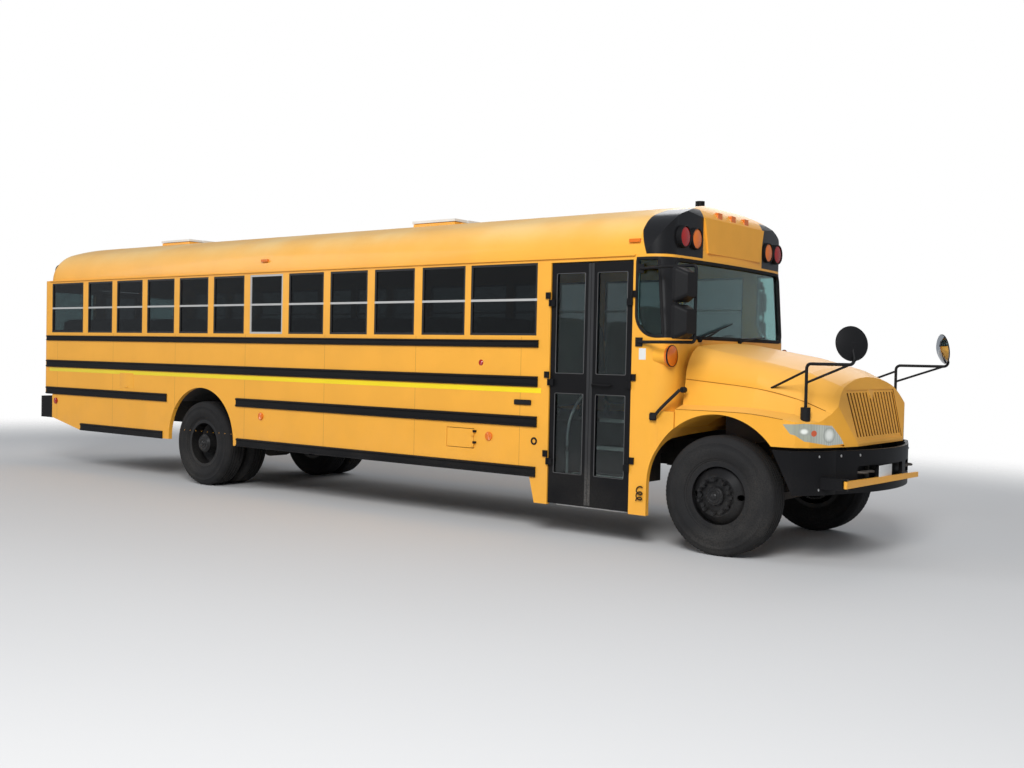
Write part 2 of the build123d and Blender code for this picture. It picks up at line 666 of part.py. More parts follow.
NOSE_PLAN = (
    (-2000.0, HOOD_HALF),
    (600.0, HOOD_HALF),
    (700.0, HOOD_HALF - 21),
    (790.0, HOOD_HALF - 101),
    (855.0, 960.0),
    (905.0, 820.0),
    (950.0, 680.0),
    (990.0, 545.0),
)
NOSE_RAKE = ((1015.0, 0.0), (1015.0, 900.0), (985.0, 1010.0), (865.0, 1500.0), (800.0, 1760.0))
HOOD_CEILING = 1860.0
GRILLE_LOW = (1015.0, 535.0)
GRILLE_HIGH = (1440.0, 575.0)
GRILLE_GAPS = 16
GRILLE_GAP_HALF = 14.0
LAMP_VIEW = (
    (-1186, 1160),
    (-1116, 1170),
    (-867, 1151),
    (-770, 1060),
    (-725, 1000),
    (-900, 990),
    (-1113, 1025),
    (-1173, 1082),
)
LENS_THICK = 8.0
LAMP_DEPTH = 70.0
EAR_Y = (462.0, 485.0)


def hood_form(inset):
    """The hood as a full solid, lofted through its stations and trimmed to the swept and raked nose."""
    form = loft([hood_section(inset, station) for station in HOOD_STATIONS], ruled=True)
    nose = outline(*NOSE_PLAN, *[(x, -y) for x, y in reversed(NOSE_PLAN)])
    plan = along_z(offset(nose, -inset, kind=Kind.INTERSECTION) if inset else nose, 0, FAR)
    face = [(x - inset, z) for x, z in NOSE_RAKE]
    raked = along_y(outline((-FAR, 0), *face, (800 - inset, HOOD_CEILING), (-FAR, HOOD_CEILING)), -FAR, FAR)
    return form & plan & raked


def grille_prism(grow):
    """The trapezoid of the grille opening, carried through the nose."""
    z0, half0 = GRILLE_LOW[0] - grow, GRILLE_LOW[1] + grow
    z1, half1 = GRILLE_HIGH[0] + grow, GRILLE_HIGH[1] + grow
    return along_x(outline((-half0, z0), (half0, z0), (half1, z1), (-half1, z1)), 600, 1100)


def lamp_prism(grow):
    """The front view of one swept headlamp on the right side, grown all round."""
    view = outline(*LAMP_VIEW)
    return along_x(offset(view, grow, kind=Kind.INTERSECTION) if grow else view, 560, 1100)


def hood():
    """Hood shell with fenders and wheel liners, the slatted grille and the headlamps."""
    outer = hood_form(0)
    behind = block(-FAR, HOOD_REAR_X, -FAR, FAR, 0, FAR)
    below = block(-FAR, FAR, -FAR, FAR, 0, HOOD_BOTTOM)
    liner = across(0, ARCH_Z, ARCH_R + 12, -1160, -600) - across(0, ARCH_Z, ARCH_R, -FAR, FAR)
    liners = [piece & outer for piece in both(liner)]
    housing = (lamp_prism(20) & outer) - hood_form(LAMP_DEPTH + 20)
    shell = outer - hood_form(HOOD_SKIN) + liners + both(housing) - behind - below
    shell -= arch(0, ARCH_R, -FAR, FAR)
    opening = lamp_prism(0) & outer
    shell -= both(opening - hood_form(LAMP_DEPTH))
    save("headlamps", *both(opening - hood_form(LENS_THICK)))
    shell -= grille_prism(0)
    for ear in both(block(915, 970, -EAR_Y[1], -EAR_Y[0], HOOD_BOTTOM + 2, 999)):
        shell += ear & outer
    shell -= across(*HOOD_PIVOT, HOOD_PIN_R + SEAT_GAP, -FAR, FAR) & block(900, 950, -FAR, FAR, 0, FAR)
    z0, half0 = GRILLE_LOW
    z1, half1 = GRILLE_HIGH
    grille = grille_prism(-SEAT_GAP) & (hood_form(6) - hood_form(HOOD_SKIN))
    gaps = []
    for number in range(GRILLE_GAPS):
        spot = (2 * number + 1 - GRILLE_GAPS) / GRILLE_GAPS
        low, high, half = spot * half0, spot * half1, GRILLE_GAP_HALF
        foot = [(low - half, z0 + 30), (low + half, z0 + 30)]
        head = [(high + half, z1 - 25), (high - half, z1 - 25)]
        gaps.append(along_x(outline(*foot, *head), 600, 1100))
    save("hood", shell, grille - gaps)


BUMPER_NOSE = 1120.0
BUMPER_FACE = (925.0, 850.0)
BUMPER_SHOULDER = (858.0, 1050.0)
BUMPER_HALF = HALF - 14
BUMPER_END_X = 700.0
BUMPER_Z = (590.0, 948.0)
BUMPER_SKIN = 28.0


def bumper_plan(inset):
    """Plan of the front bumper: a bowed front with round ends that run back along the sides."""
    side = BUMPER_HALF - inset
    face_x, face_y = BUMPER_FACE[0] - inset * 0.95, BUMPER_FACE[1] - inset * 0.2
    turn_x, turn_y = BUMPER_SHOULDER[0] - inset * 0.75, BUMPER_SHOULDER[1] - inset * 0.65
    lines = [
        Line((400, -side), (BUMPER_END_X, -side)),
        ThreePointArc((BUMPER_END_X, -side), (turn_x, -turn_y), (face_x, -face_y)),
        ThreePointArc((face_x, -face_y), (BUMPER_NOSE - inset, 0), (face_x, face_y)),
        ThreePointArc((face_x, face_y), (turn_x, turn_y), (BUMPER_END_X, side)),
        Line((BUMPER_END_X, side), (400, side)),
        Line((400, side), (400, -side)),
    ]
    return make_face(Curve() + lines)


def bumpers():
    """Front and rear bumpers, each with brackets that reach the frame rails."""
    low, high = BUMPER_Z
    slope = [(BUMPER_END_X, low + 10), (BUMPER_END_X - 190, high + 17)]
    ends = along_y(outline((400, 0), (BUMPER_END_X, 0), *slope, (400, high + 17)), -FAR, FAR)
    front = along_z(bumper_plan(0), low, high) - along_z(bumper_plan(BUMPER_SKIN), 0, FAR) - ends
    for y0, y1 in ((-620, -330), (-200, 200), (330, 620)):
        front -= along_x(rect(y0, y1, 705, 815, 25), 900, 1200)
    half = HALF - 9
    rear = block(REAR_REACH, -10400, -half, half, 665, 960)
    rear = fillet(rear.edges().filter_by(Axis.Z).sort_by(Axis.X)[:2], 130)
    room = block(REAR_REACH + 20, -10390, 20 - half, half - 20, 0, FAR)
    rear -= fillet(room.edges().filter_by(Axis.Z).sort_by(Axis.X)[:2], 110)
    save("bumpers", front, rear)


# Chassis


def frame():
    """The two channel rails and their cross members."""
    back = -FAR / 2
    rails = []
    section = rect(-RAIL_OUTER_Y, RAIL_FLANGE - RAIL_OUTER_Y, RAIL_BOTTOM, RAIL_TOP)
    section -= rect(RAIL_WEB - RAIL_OUTER_Y, 0, RAIL_BOTTOM + RAIL_WEB, RAIL_TOP - RAIL_WEB)
    behind = bumper_plan(BUMPER_SKIN + SEAT_GAP) + rect(-12000, 450, -1200, 1200)
    rail = along_x(section, REAR_REACH + 20 + SEAT_GAP, BUMPER_NOSE) & along_z(behind, 0, FAR)
    rails = both(rail)
    inner = RAIL_OUTER_Y - RAIL_WEB
    members = [block(x, x + 90, -inner, inner, RAIL_TOP - 100, RAIL_TOP - 10) for x in CROSS_MEMBERS_X]
    whole = rails[0] + rails[1]
    for eye in both(block(*TOW_EYE_X, -RAIL_OUTER_Y, RAIL_FLANGE - RAIL_OUTER_Y - 51, 560, RAIL_BOTTOM)):
        whole += eye
    whole -= across(TOW_EYE[0], TOW_EYE[1], TOW_EYE_R, -FAR, FAR)
    for member in members:
        whole += member
    whole -= block(840, FAR, -FAR, FAR, 860, FAR)
    ear = block(800, 835, -450, -RAIL_OUTER_Y, 780, 998) + block(800, 943, -450, -RAIL_OUTER_Y, 972, 998)
    for piece in both(ear + across(*HOOD_PIVOT, HOOD_PIN_R, -490, -RAIL_OUTER_Y)):
        whole += piece
    save("frame", whole)


TOW_EYE_X = (-10740.0, -10600.0)
TOW_EYE = (-10670.0, 612.0)
TOW_EYE_R = 25.0
CROSS_MEMBERS_X = (-10600.0, -8700.0, -7700.0, -6400.0, -5000.0, -3400.0, -2000.0, 640.0)


def leaf_spring(x, half, seat_z):
    """One leaf spring on the right side, bowed down to its axle seat, with its two hangers."""
    y0, y1 = -RAIL_OUTER_Y, RAIL_FLANGE - RAIL_OUTER_Y
    eye_z = RAIL_BOTTOM - 70
    pack = outline((x - half, eye_z - 12), (x - 160, seat_z), (x + 160, seat_z), (x + half, eye_z - 12),
                   (x + half, eye_z + 12), (x + 160, seat_z + 75), (x - 160, seat_z + 75), (x - half, eye_z + 12))
    spring = along_y(pack, y0, y1)
    for end in (x - half, x + half):
        spring += across(end, eye_z, 30, y0, y1)
        spring += block(end - 35, end + 35, y0, y1, eye_z, RAIL_BOTTOM)
    return spring


def axles():
    """Front beam axle with its springs, the rear axle with its casing, and the front knuckles."""
    beam = block(-45, 45, -760, 760, 375, 465)
    for side in (-1, 1):
        low, high = sorted((side * 700, side * 770))
        beam += block(-40, 40, low, high, 375, 570)
        low, high = sorted((side * 760, side * KINGPIN_Y))
        beam += block(-35, 35, low, high, 470, 560)
        beam += upright(0, side * KINGPIN_Y, 44, 470, 560)
    for side in (-1, 1):
        beam -= upright(0, side * KINGPIN_Y, KINGPIN_R + SEAT_GAP, 0, FAR)
    pads = both(block(-70, 70, -RAIL_OUTER_Y, RAIL_FLANGE - RAIL_OUTER_Y, 440, 480))
    save("front_axle", beam + pads)
    tube_shape = across(REAR_AXLE_X, TYRE_R, 75, -800, 800)
    tube_shape += across(REAR_AXLE_X, TYRE_R, SPINDLE_R, -1110, 1110)
    tube_shape += across(REAR_AXLE_X, TYRE_R, 215, -120, 120)
    tube_shape += lengthways(0, TYRE_R + 10, 90, REAR_AXLE_X, REAR_AXLE_X + 420)
    x0, x1 = REAR_AXLE_X - 80, REAR_AXLE_X + 80
    seats = both(block(x0, x1, -RAIL_OUTER_Y, RAIL_FLANGE - RAIL_OUTER_Y, 480, 600))
    save("rear_axle", tube_shape + seats)
    save("leaf_springs", *both(leaf_spring(0, 620, 480), rear_spring()))


def rear_spring():
    """One rear leaf spring on the right side, on top of its axle seat, beneath the rail."""
    y0, y1 = -RAIL_OUTER_Y, RAIL_FLANGE - RAIL_OUTER_Y
    x = REAR_AXLE_X
    spring = along_y(outline((x - 700, 628), (x - 160, 600), (x + 160, 600), (x + 700, 628), (x + 700, 652),
                             (x + 160, 664), (x - 160, 664), (x - 700, 652)), y0, y1)
    for end in (x - 700, x + 700):
        spring += block(end - 35, end + 35, y0, y1, 610, RAIL_BOTTOM)
    return spring


def knuckle():
    """The right-hand knuckle: yoke, kingpin, spindle and the arm that the tie rod pulls."""
    y = -KINGPIN_Y
    body = block(-55, 55, y - 100, y - 60, 380, 650)
    for z0, z1 in ((*ARM_Z, ), (570.0, 640.0)):
        body += upright(0, y, 44, z0, z1)
        body += block(-44, 44, y - 70, y, z0, z1)
    body += upright(0, y, KINGPIN_R, 400, 630)
    body += across(0, TYRE_R, SPINDLE_R, -1100, y - 60)
    body += block(ARM_X, 0, y - 22, y + 22, *ARM_Z)
    body += upright(ARM_X, y, 24, *ARM_Z)
    body += upright(ARM_X, y, 12, 345, ARM_Z[0])
    return body


def steering():
    """Knuckles, tie rod, column and steering wheel."""
    right = knuckle()
    save("knuckle_right", right)
    save("knuckle_left", *flipped(right))
    rod = bar((ARM_X, -KINGPIN_Y + 36, 365), (ARM_X, KINGPIN_Y - 36, 365), 17)
    for side in (-1, 1):
        low, high = sorted((side * 800, side * KINGPIN_Y))
        rod += upright(ARM_X, side * KINGPIN_Y, 26, 350, 385)
        rod += block(ARM_X - 12, ARM_X + 12, low, high, 352, 380)
    for side in (-1, 1):
        rod -= upright(ARM_X, side * KINGPIN_Y, 12.3, 0, FAR)
    save("tie_rod", rod)
    plane = Plane(origin=column_point(0), z_dir=COLUMN_DIR)
    wheel = plane * Torus(WHEEL_R, 15)
    wheel += plane * Pos(0, 0, -25) * Cylinder(45, 60)
    for angle in (90, 210, 330):
        wheel += plane * Rot(0, 0, angle) * Pos(WHEEL_R / 2, 0, -8) * Box(WHEEL_R, 30, 12)
    save("steering_wheel", wheel - plane * Pos(0, 0, -190) * Cylinder(COLUMN_R + SEAT_GAP, 300))


WHEEL_R = 225.0
COLUMN_R = 28.0
WHEEL_CENTRE = (-1000.0, 620.0, 1800.0)
COLUMN_DIR = (-0.5, 0.0, 0.8660254)


def column_point(distance):
    """A point on the steering column's axis, measured up from the steering wheel's centre."""
    return tuple(c + distance * d for c, d in zip(WHEEL_CENTRE, COLUMN_DIR))


def tyre(x, y):
    """One tyre: a plain ring with rounded shoulders."""
    half = [(BEAD_R, RIM_HALF - 2), (BEAD_R + 15, RIM_HALF - 2), (340, TYRE_HALF - 11), (400, TYRE_HALF)]
    half += [(TYRE_R - 45, TYRE_HALF - 7), (TYRE_R - 11, TYRE_HALF - 27), (TYRE_R, TYRE_HALF - 59)]
    points = [(r, y + w) for r, w in half] + [(r, y - w) for r, w in reversed(half)]
    return spun(points, x)


def rim(x, y, out):
    """One steel rim with its disc: out is +1 or -1, the way that the disc is dished along Y."""
    lip = RIM_HALF - 2 + SEAT_GAP
    barrel = [(250, -RIM_HALF), (298, -RIM_HALF), (298, -lip), (RIM_R, -lip), (RIM_R, lip), (298, lip)]
    barrel += [(298, RIM_HALF), (250, RIM_HALF)]
    disc = [(251, 40), (251, 60), (175, 140), (110, 140), (110, 124), (165, 124)]
    return spun([(r, y + out * w) for r, w in barrel], x) + spun([(r, y + out * w) for r, w in disc], x)


HAND_HOLE_AT = 212.0
HAND_HOLE_R = 26.0


def nuts(x, y0, y1):
    """Ten wheel nuts on one bolt circle."""
    ring = []
    for number in range(10):
        angle = math.radians(36 * number)
        ring.append(across(x + 142 * math.cos(angle), TYRE_R + 142 * math.sin(angle), 17, y0, y1))
    return ring


def wheels():
    """Tyres and wheels: single at the front, twin at the rear."""
    y = -FRONT_WHEEL_Y
    save("tyre_front_right", tyre(0, y))
    save("tyre_front_left", *flipped(tyre(0, y)))
    hub = [(BORE_R, -960), (BORE_R, -1104), (0, -1104), (0, -1190), (70, -1190), (80, -1180)]
    hub += [(80, -1150), (112, -1150), (112, -1124), (90, -1110), (90, -960)]
    drum = [(88, -985), (205, -985), (205, -900), (188, -900), (188, -972), (88, -972)]
    front = rim(0, y, -1) + spun(hub, 0) + spun(drum, 0)
    for nut in nuts(0, -1172, -1150):
        front += nut
    for side in (-1, 1):
        front -= across(side * HAND_HOLE_AT, TYRE_R, HAND_HOLE_R, -1200, -1030)
    save("wheel_front_right", front)
    save("wheel_front_left", *flipped(front))
    twin = [tyre(REAR_AXLE_X, -OUTER_DUAL_Y), tyre(REAR_AXLE_X, -INNER_DUAL_Y)]
    save("tyres_rear_right", *twin)
    save("tyres_rear_left", *flipped(*twin))
    middle = (OUTER_DUAL_Y + INNER_DUAL_Y) / 2
    hub = [(BORE_R, -middle + 60), (BORE_R, -1112), (0, -1112), (0, -1175), (85, -1175)]
    rear = spun(hub + [(112, -1150), (112, -middle + 60)], REAR_AXLE_X)
    for out, centre in ((1, -OUTER_DUAL_Y), (-1, -INNER_DUAL_Y)):
        rear += rim(REAR_AXLE_X, centre, out)
    near, far = -middle - 32, -middle + 32
    plate = spun([(108, near), (176, near), (176, far), (108, far)], REAR_AXLE_X)
    rear += plate
    for nut in nuts(REAR_AXLE_X, -middle - 58, -middle - 30):
        rear += nut
    rear -= across(REAR_AXLE_X, TYRE_R, 76, -810, 0)
    for side in (-1, 1):
        x = REAR_AXLE_X + side * HAND_HOLE_AT
        rear -= across(x, TYRE_R, HAND_HOLE_R, -1030, -900) + across(x, TYRE_R, HAND_HOLE_R, -860, -740)
    save("wheels_rear_right", rear)
    save("wheels_rear_left", *flipped(rear))


def drivetrain():
    """Engine, gearbox, driveshaft, radiator, fuel tank, battery box and exhaust."""
    web = RAIL_OUTER_Y - RAIL_WEB
    engine = block(-360, 560, -300, 300, 640, 1380)
    for x in (-250, 350):
        engine += block(x, x + 100, -web, web, 740, 860)
    save("engine", engine, block(680, 790, -400, 400, RAIL_TOP, 1400))
    box = block(-1050, -360, -170, 170, 640, 925) + block(-900, -800, -web, web, 720, 800)
    shaft = bar((-1053, 0, 740), (REAR_AXLE_X + 423, 0, TYRE_R + 10), 55)
    save("driveline", box, shaft)
    tank = block(-4100, -2700, -1080, -RAIL_OUTER_Y, 570, 900)
    tank = fillet(tank.edges().filter_by(Axis.X), 60)
    save("tank_and_battery_box", tank, block(-3500, -2660, 690, 1080, 600, RAIL_TOP))
    pipe = bar((-1700, 560, 800), (-6150, 560, 800), 45)
    pipe += lengthways(560, 800, 115, -5300, -4300)
    for x in (-2200, -4450, -5200, -6000):
        pipe += block(x, x + 30, 545, 575, 840, FLOOR_Z)
    save("exhaust", pipe)


# Cabin


def seats():
    """Twelve rows of benches on each side of the aisle, and the driver's seat."""
    y0, y1 = SEAT_Y
    cushions = []
    backs = []
    frames = []
    for row in range(SEAT_ROWS):
        x = FIRST_ROW_X + row * WINDOW_PITCH
        cushions.append(block(x + 95, x + 95 + SEAT_DEPTH, y0, y1, *CUSHION_Z))
        side = outline((x + 10, CUSHION_Z[0]), (x + 90, CUSHION_Z[0]), (x + 45, BACK_TOP), (x - 35, BACK_TOP))
        backs.append(along_y(side, y0, y1))
        rail = block(x + 20, x + 480, y0 + 20, INNER, CUSHION_Z[0] - 30, CUSHION_Z[0])
        for foot in (x + 60, x + 380):
            rail += block(foot, foot + 35, y0 + 40, y0 + 75, FLOOR_TOP, CUSHION_Z[0] - 30)
        frames.append(rail)
    x = BARRIER_X
    backs.append(block(x, x + 40, y0, y1, BARRIER_FOOT, BACK_TOP))
    for y in (y0 + 40, y1 - 80):
        frames.append(block(x, x + 40, y, y + 40, FLOOR_TOP, BARRIER_FOOT))
    save("seat_cushions", *both(*cushions))
    save("seat_backs", *both(*backs))
    pedestal = block(-1590, -1270, 480, 760, FLOOR_TOP, 1465)
    save("seat_frames", *both(*frames), pedestal)
    x = -1720
    chair = block(x + 60, x + 540, 380, 860, 1465, 1560)
    chair += along_y(outline((x - 20, 1500), (x + 80, 1500), (x + 20, 2230), (x - 80, 2230)), 390, 850)
    save("driver_seat", chair)
    dash = block(-820, -560, 250, 1100, 1300, 1700)
    dash += block(-700, -560, 250, 1100, FLOOR_TOP, 1300)
    dash += bar(column_point(-41), column_point(-420), COLUMN_R)
    dash &= along_z(body_plan(WALL + 1, -FAR / 2), 0, FAR)
    save("dashboard", dash)


# Lamps, mirrors and arms

CAP_LAMPS = (("red", 947.0), ("amber", 736.0))
CAP_LAMP_Z = WALL_TOP + 165
TAIL_LAMPS = (("red", 1720.0, 90.0), ("amber", 1480.0, 70.0), ("red", 1290.0, 55.0))
COWL_LAMP = (-490.0, -1150.0, 1697.0)
COWL_LAMP_R = 90.0
SIDE_MARKERS_X = (-880.0, -5900.0)
SIDE_REFLECTORS = (("red", -10300.0, 908.0), ("amber", -5865.0, 906.0), ("amber", -2440.0, 882.0))


def lamps():
    """Warning lamps, sign panels, marker lamps and tail lamps."""
    form = roof_form()
    front, rear = {}, {}
    for colour, y in CAP_LAMPS:
        front[colour] = both(lengthways(-y, CAP_LAMP_Z, 88, -900, NOSE_X - LEAN - 5) - form)
        rear[colour] = both(lengthways(-y, CAP_LAMP_Z, 88, REAR_WALL_X + 5, -10400) - form)
    for y in (-271, 0, 271):
        front["amber"].append(block(-570, -488, y - 42, y + 42, CROWN_Z - 145, CROWN_Z - 88) - form)
        rear["red"].append(block(-10640, -10560, y - 45, y + 45, CROWN_Z - 115, CROWN_Z - 55) - form)
    x, y, z = COWL_LAMP
    cowl = along_z(body_plan(-SEAT_GAP, DOOR_FRONT_X), 0, FAR)
    front["amber"] += both(lengthways(y, z, COWL_LAMP_R, x, x + 35) - cowl)
    for x in SIDE_MARKERS_X:
        marker = block(x, x + 110, -HALF - 8, -HALF + 60, WALL_TOP + 108, WALL_TOP + 138)
        front["amber"] += both(marker - form)
    for colour, z, radius in TAIL_LAMPS:
        rear[colour] += both(lengthways(-1000, z, radius, REAR_WALL_X - 30, REAR_WALL_X))
    for colour, x, z in SIDE_REFLECTORS:
        rear[colour] += both(across(x, z, 42, -HALF - 12, -HALF))
    for colour, _ in CAP_LAMPS:
        save(f"{colour}_lamps", *front[colour], *rear[colour])


MIRROR_Z = ((1840.0, 2130.0), (2150.0, 2440.0))
MIRROR_WIDE = 250.0
MIRROR_DEEP = 120.0
MIRROR_ARM_R = 14.0
MIRROR_ARMS_Z = (1815.0, 2462.0)
CROSSVIEW = (FRONT_REACH - 91.47, -1150.0, 1820.0)
CROSSVIEW_R = 140.0
CROSSVIEW_FACE = (-0.76, 0.6, -0.15)
POST = (735.0, -1050.0)


def side_mirror(head_x, head_y, corners):
    """Two stacked heads with tapered backs, on a hoop of tube through the corners, all on the right side."""
    top = MIRROR_ARMS_Z[1]
    low = MIRROR_ARMS_Z[0]
    path = [(x, y, top) for x, y in corners] + [(x, y, low) for x, y in reversed(corners)]
    mirror_set = tube(path, MIRROR_ARM_R, 30)
    for z0, z1 in MIRROR_Z:
        middle = (head_y, (z0 + z1) / 2)
        rim = Pos(*middle) * RectangleRounded(MIRROR_WIDE, z1 - z0, 30)
        back = Pos(*middle) * RectangleRounded(MIRROR_WIDE - 90, z1 - z0 - 90, 30)
        near = Plane(origin=(head_x + 30, 0, 0), x_dir=(0, 1, 0), z_dir=(1, 0, 0))
        far = Plane(origin=(head_x + MIRROR_DEEP, 0, 0), x_dir=(0, 1, 0), z_dir=(1, 0, 0))
        mirror_set += along_x(rim, head_x, head_x + 30) + loft([near * rim, far * back], ruled=True)
    x, y = corners[0]
    for z in MIRROR_ARMS_Z:
        mirror_set += block(x - 35, x + 35, -HALF - 10, -HALF + 10, z - 40, z + 40)
    return mirror_set


def crossview_mirror():
    """The right-hand crossview mirror: a round domed head on a post with three braces."""
    x, y, z = CROSSVIEW
    front = TangentArc((0, 48), (CROSSVIEW_R, 4), tangent=(1, 0))
    back = TangentArc((0, -30), (CROSSVIEW_R, -4), tangent=(1, 0))
    rim = Line((CROSSVIEW_R, 4), (CROSSVIEW_R, -4))
    dome = revolve(Plane.XZ * make_face(Curve() + [Line((0, -30), (0, 48)), front, rim, back]), axis=Axis.Z)
    head = Plane(origin=CROSSVIEW, z_dir=CROSSVIEW_FACE) * dome
    post_x, post_y = POST
    path = [(post_x, post_y, 1290), (post_x, post_y, 1655), (x + 50, y - 40, 1655), (x + 12, y - 10, z - 25)]
    stand = tube(path, 13, 40) + upright(post_x, post_y, 40, 1150, 1300)
    stand += bar((post_x, post_y, 1500), (x, y - 25, 1655), 10)
    stand += bar((365, -925, 1440), (post_x, post_y, 1600), 10)
    return head + (stand - hood_form(-SEAT_GAP))


def mirrors():
    """Side mirrors on their brackets and the crossview mirrors on the hood."""
    body = windscreen_form(-SEAT_GAP) + along_z(body_plan(-SEAT_GAP, DOOR_FRONT_X), 0, GLASS_BASE_Z)
    near = -HALF - 5
    right = side_mirror(-255, -HALF - 191, ((-755, near), (-480, -HALF - 100), (-150, -HALF - 100)))
    left = side_mirror(-955, -HALF - 191, ((-790, near), (-840, -HALF - 200)))
    save("side_mirrors", right - body, *flipped(left - body))
    save("crossview_mirrors", *both(crossview_mirror()))


ARM_PIN_R = 5.0
CROSSING_PIVOT = (1074.0, -1010.0)
CROSSING_LENGTH = 1420.0
CROSSING_Z = (660.0, 720.0)
CROSSING_TURN = -4.0
STOP_PIVOT = (-1790.0, HALF + 22.0)


def arms(door_knuckles):
    """Crossing arm, stop arm and their brackets, saved with the strobe and the doors' fixed knuckles."""
    x, y = CROSSING_PIVOT
    z0, z1 = CROSSING_Z
    tip = [(CROSSING_LENGTH, z0 + 8), (CROSSING_LENGTH, z1 - 8)]
    blade = along_x(outline((15, z0), *tip, (15, z1)), -10, 12)
    arm = Pos(x, y, 0) * Rot(0, 0, CROSSING_TURN) * blade + upright(x, y, 16, z0, z1)
    save("crossing_arm", arm - upright(x, y, ARM_PIN_R + SEAT_GAP, 600, 780))
    holder = block(840, x + 16, y - 20, y + 20, z0 - 18, z0 - 6)
    holder += block(840, x + 16, y - 20, y + 20, z1 + 6, z1 + 18)
    holder += block(840, x - 22, y - 20, y + 20, z0 - 18, z1 + 18)
    holder -= along_z(bumper_plan(-SEAT_GAP), 0, FAR)
    holder += upright(x, y, ARM_PIN_R, z0 - 7, z1 + 7)
    x, y = STOP_PIVOT
    plate = along_y(Pos(x - 270, 1600) * Rot(0, 0, 22.5) * RegularPolygon(235, 8), y + 4, y + 10)
    blade = upright(x, y, 10, 1520, 1680) + block(x - 80, x, y + 2, y + 10, 1530, 1670) + plate
    save("stop_arm", blade - upright(x, y, ARM_PIN_R + SEAT_GAP, 1500, 1700))
    box = block(x + 16, x + 110, HALF, y + 18, 1500, 1700)
    for z0, z1 in ((1490, 1514), (1686, 1710)):
        box += block(x - 14, x + 20, HALF, y + 14, z0, z1)
    box += upright(x, y, ARM_PIN_R, 1514, 1686)
    strobe = block(-905, -800, -50, 50, CROWN_Z - 75, CROWN_Z + 20)
    strobe += upright(-852, 0, 45, CROWN_Z, CROWN_Z + 80)
    strobe -= roof_form()
    x0, y0, z0 = COWL_LAMP
    cowl = along_z(body_plan(-SEAT_GAP, DOOR_FRONT_X), 0, FAR)
    pods = both((lengthways(y0, z0, COWL_LAMP_R - 12, x0 - 120, x0)) - cowl)
    x0, x1, z0, z1 = FUEL_DOOR
    for z in FUEL_HINGES:
        hinge = block(x1 - 1, x1 + 30, -FUEL_PIVOT_Y - 3, -HALF, z, z + 20)
        hinge += upright(x1 - 1, -FUEL_PIVOT_Y, 7, z, z + 20)
        door_knuckles.append(hinge + upright(x1 - 1, -FUEL_PIVOT_Y, 3, z - 26, z))
    save("body_fittings", holder, box, strobe, *pods, *door_knuckles)


def small_doors():
    """Roof hatch lids, each hinged at its front edge, and the fuel door."""
    for name, x in HATCHES:
        half = HATCH_HALF + 10
        lid = block(x - 10, x + HATCH_LENGTH + 10, -half, half, HATCH_Z[1] + 6, HATCH_Z[1] + 34)
        lid += hatch_tab(x, 0)
        bore = across(x + HATCH_LENGTH + HATCH_HINGE, HATCH_HINGE_Z, PIN_R + SEAT_GAP, -150, 150)
        save(f"hatch_{name}", lid - bore)
    x0, x1, z0, z1 = FUEL_DOOR
    panel = block(x0 + 7, x1 - 7, -HALF, -HALF + 24, z0 + 6, z1 - 6)
    pivot = x1 - 1
    for z in FUEL_HINGES:
        panel += block(x1 - 30, x1 - 8, -FUEL_PIVOT_Y - 3, -HALF, z - 36, z - 6)
        panel += block(x1 - 30, pivot, -FUEL_PIVOT_Y - 3, -FUEL_PIVOT_Y + 4, z - 36, z - 6)
        panel += upright(pivot, -FUEL_PIVOT_Y, 7, z - 36, z - 6)
        panel -= upright(pivot, -FUEL_PIVOT_Y, 3 + SEAT_GAP, z - 30, z)
    save("fuel_door", panel)


def main():
    """Builds every sub-part."""
    os.makedirs("parts", exist_ok=True)
    side_walls()
    roof_pieces()
    front_cowl()
    rub_rails()
    under_body()
    step_well()
    door_knuckles = [*entrance_door(), *rear_door()]
    hood()
    bumpers()
    frame()
    axles()
    steering()
    wheels()
    drivetrain()
    seats()
    lamps()
    mirrors()
    arms(door_knuckles)
    small_doors()


if __name__ == "__main__":
    main()
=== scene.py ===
"""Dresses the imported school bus: finishes for the CAD nodes, and the fine pieces that ride on its bodies."""

import logging
import math
from dataclasses import dataclass, field
from enum import Enum
from typing import Dict, List, Sequence, Tuple

import bmesh
import bpy
import numpy as np
from mathutils import Matrix, Vector


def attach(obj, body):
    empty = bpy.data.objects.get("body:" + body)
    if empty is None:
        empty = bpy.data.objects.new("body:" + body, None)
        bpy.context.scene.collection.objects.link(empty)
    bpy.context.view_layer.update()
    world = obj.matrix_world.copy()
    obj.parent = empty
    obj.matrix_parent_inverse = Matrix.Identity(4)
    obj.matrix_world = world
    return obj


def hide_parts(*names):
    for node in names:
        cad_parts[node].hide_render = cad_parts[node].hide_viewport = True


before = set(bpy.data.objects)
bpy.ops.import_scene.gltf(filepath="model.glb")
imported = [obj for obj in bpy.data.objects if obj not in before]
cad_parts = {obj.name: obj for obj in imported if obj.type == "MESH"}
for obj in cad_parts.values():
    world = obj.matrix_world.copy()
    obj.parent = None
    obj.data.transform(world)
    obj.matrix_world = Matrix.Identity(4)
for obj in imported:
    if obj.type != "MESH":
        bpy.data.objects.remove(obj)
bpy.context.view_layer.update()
log = logging.getLogger("bus")

Array = np.ndarray
Colour = Tuple[float, float, float]
Place = Tuple[float, float, float]
Socket = bpy.types.NodeSocket
LeaningPlate = Tuple[Tuple[float, float], Tuple[float, float], float, float, float]

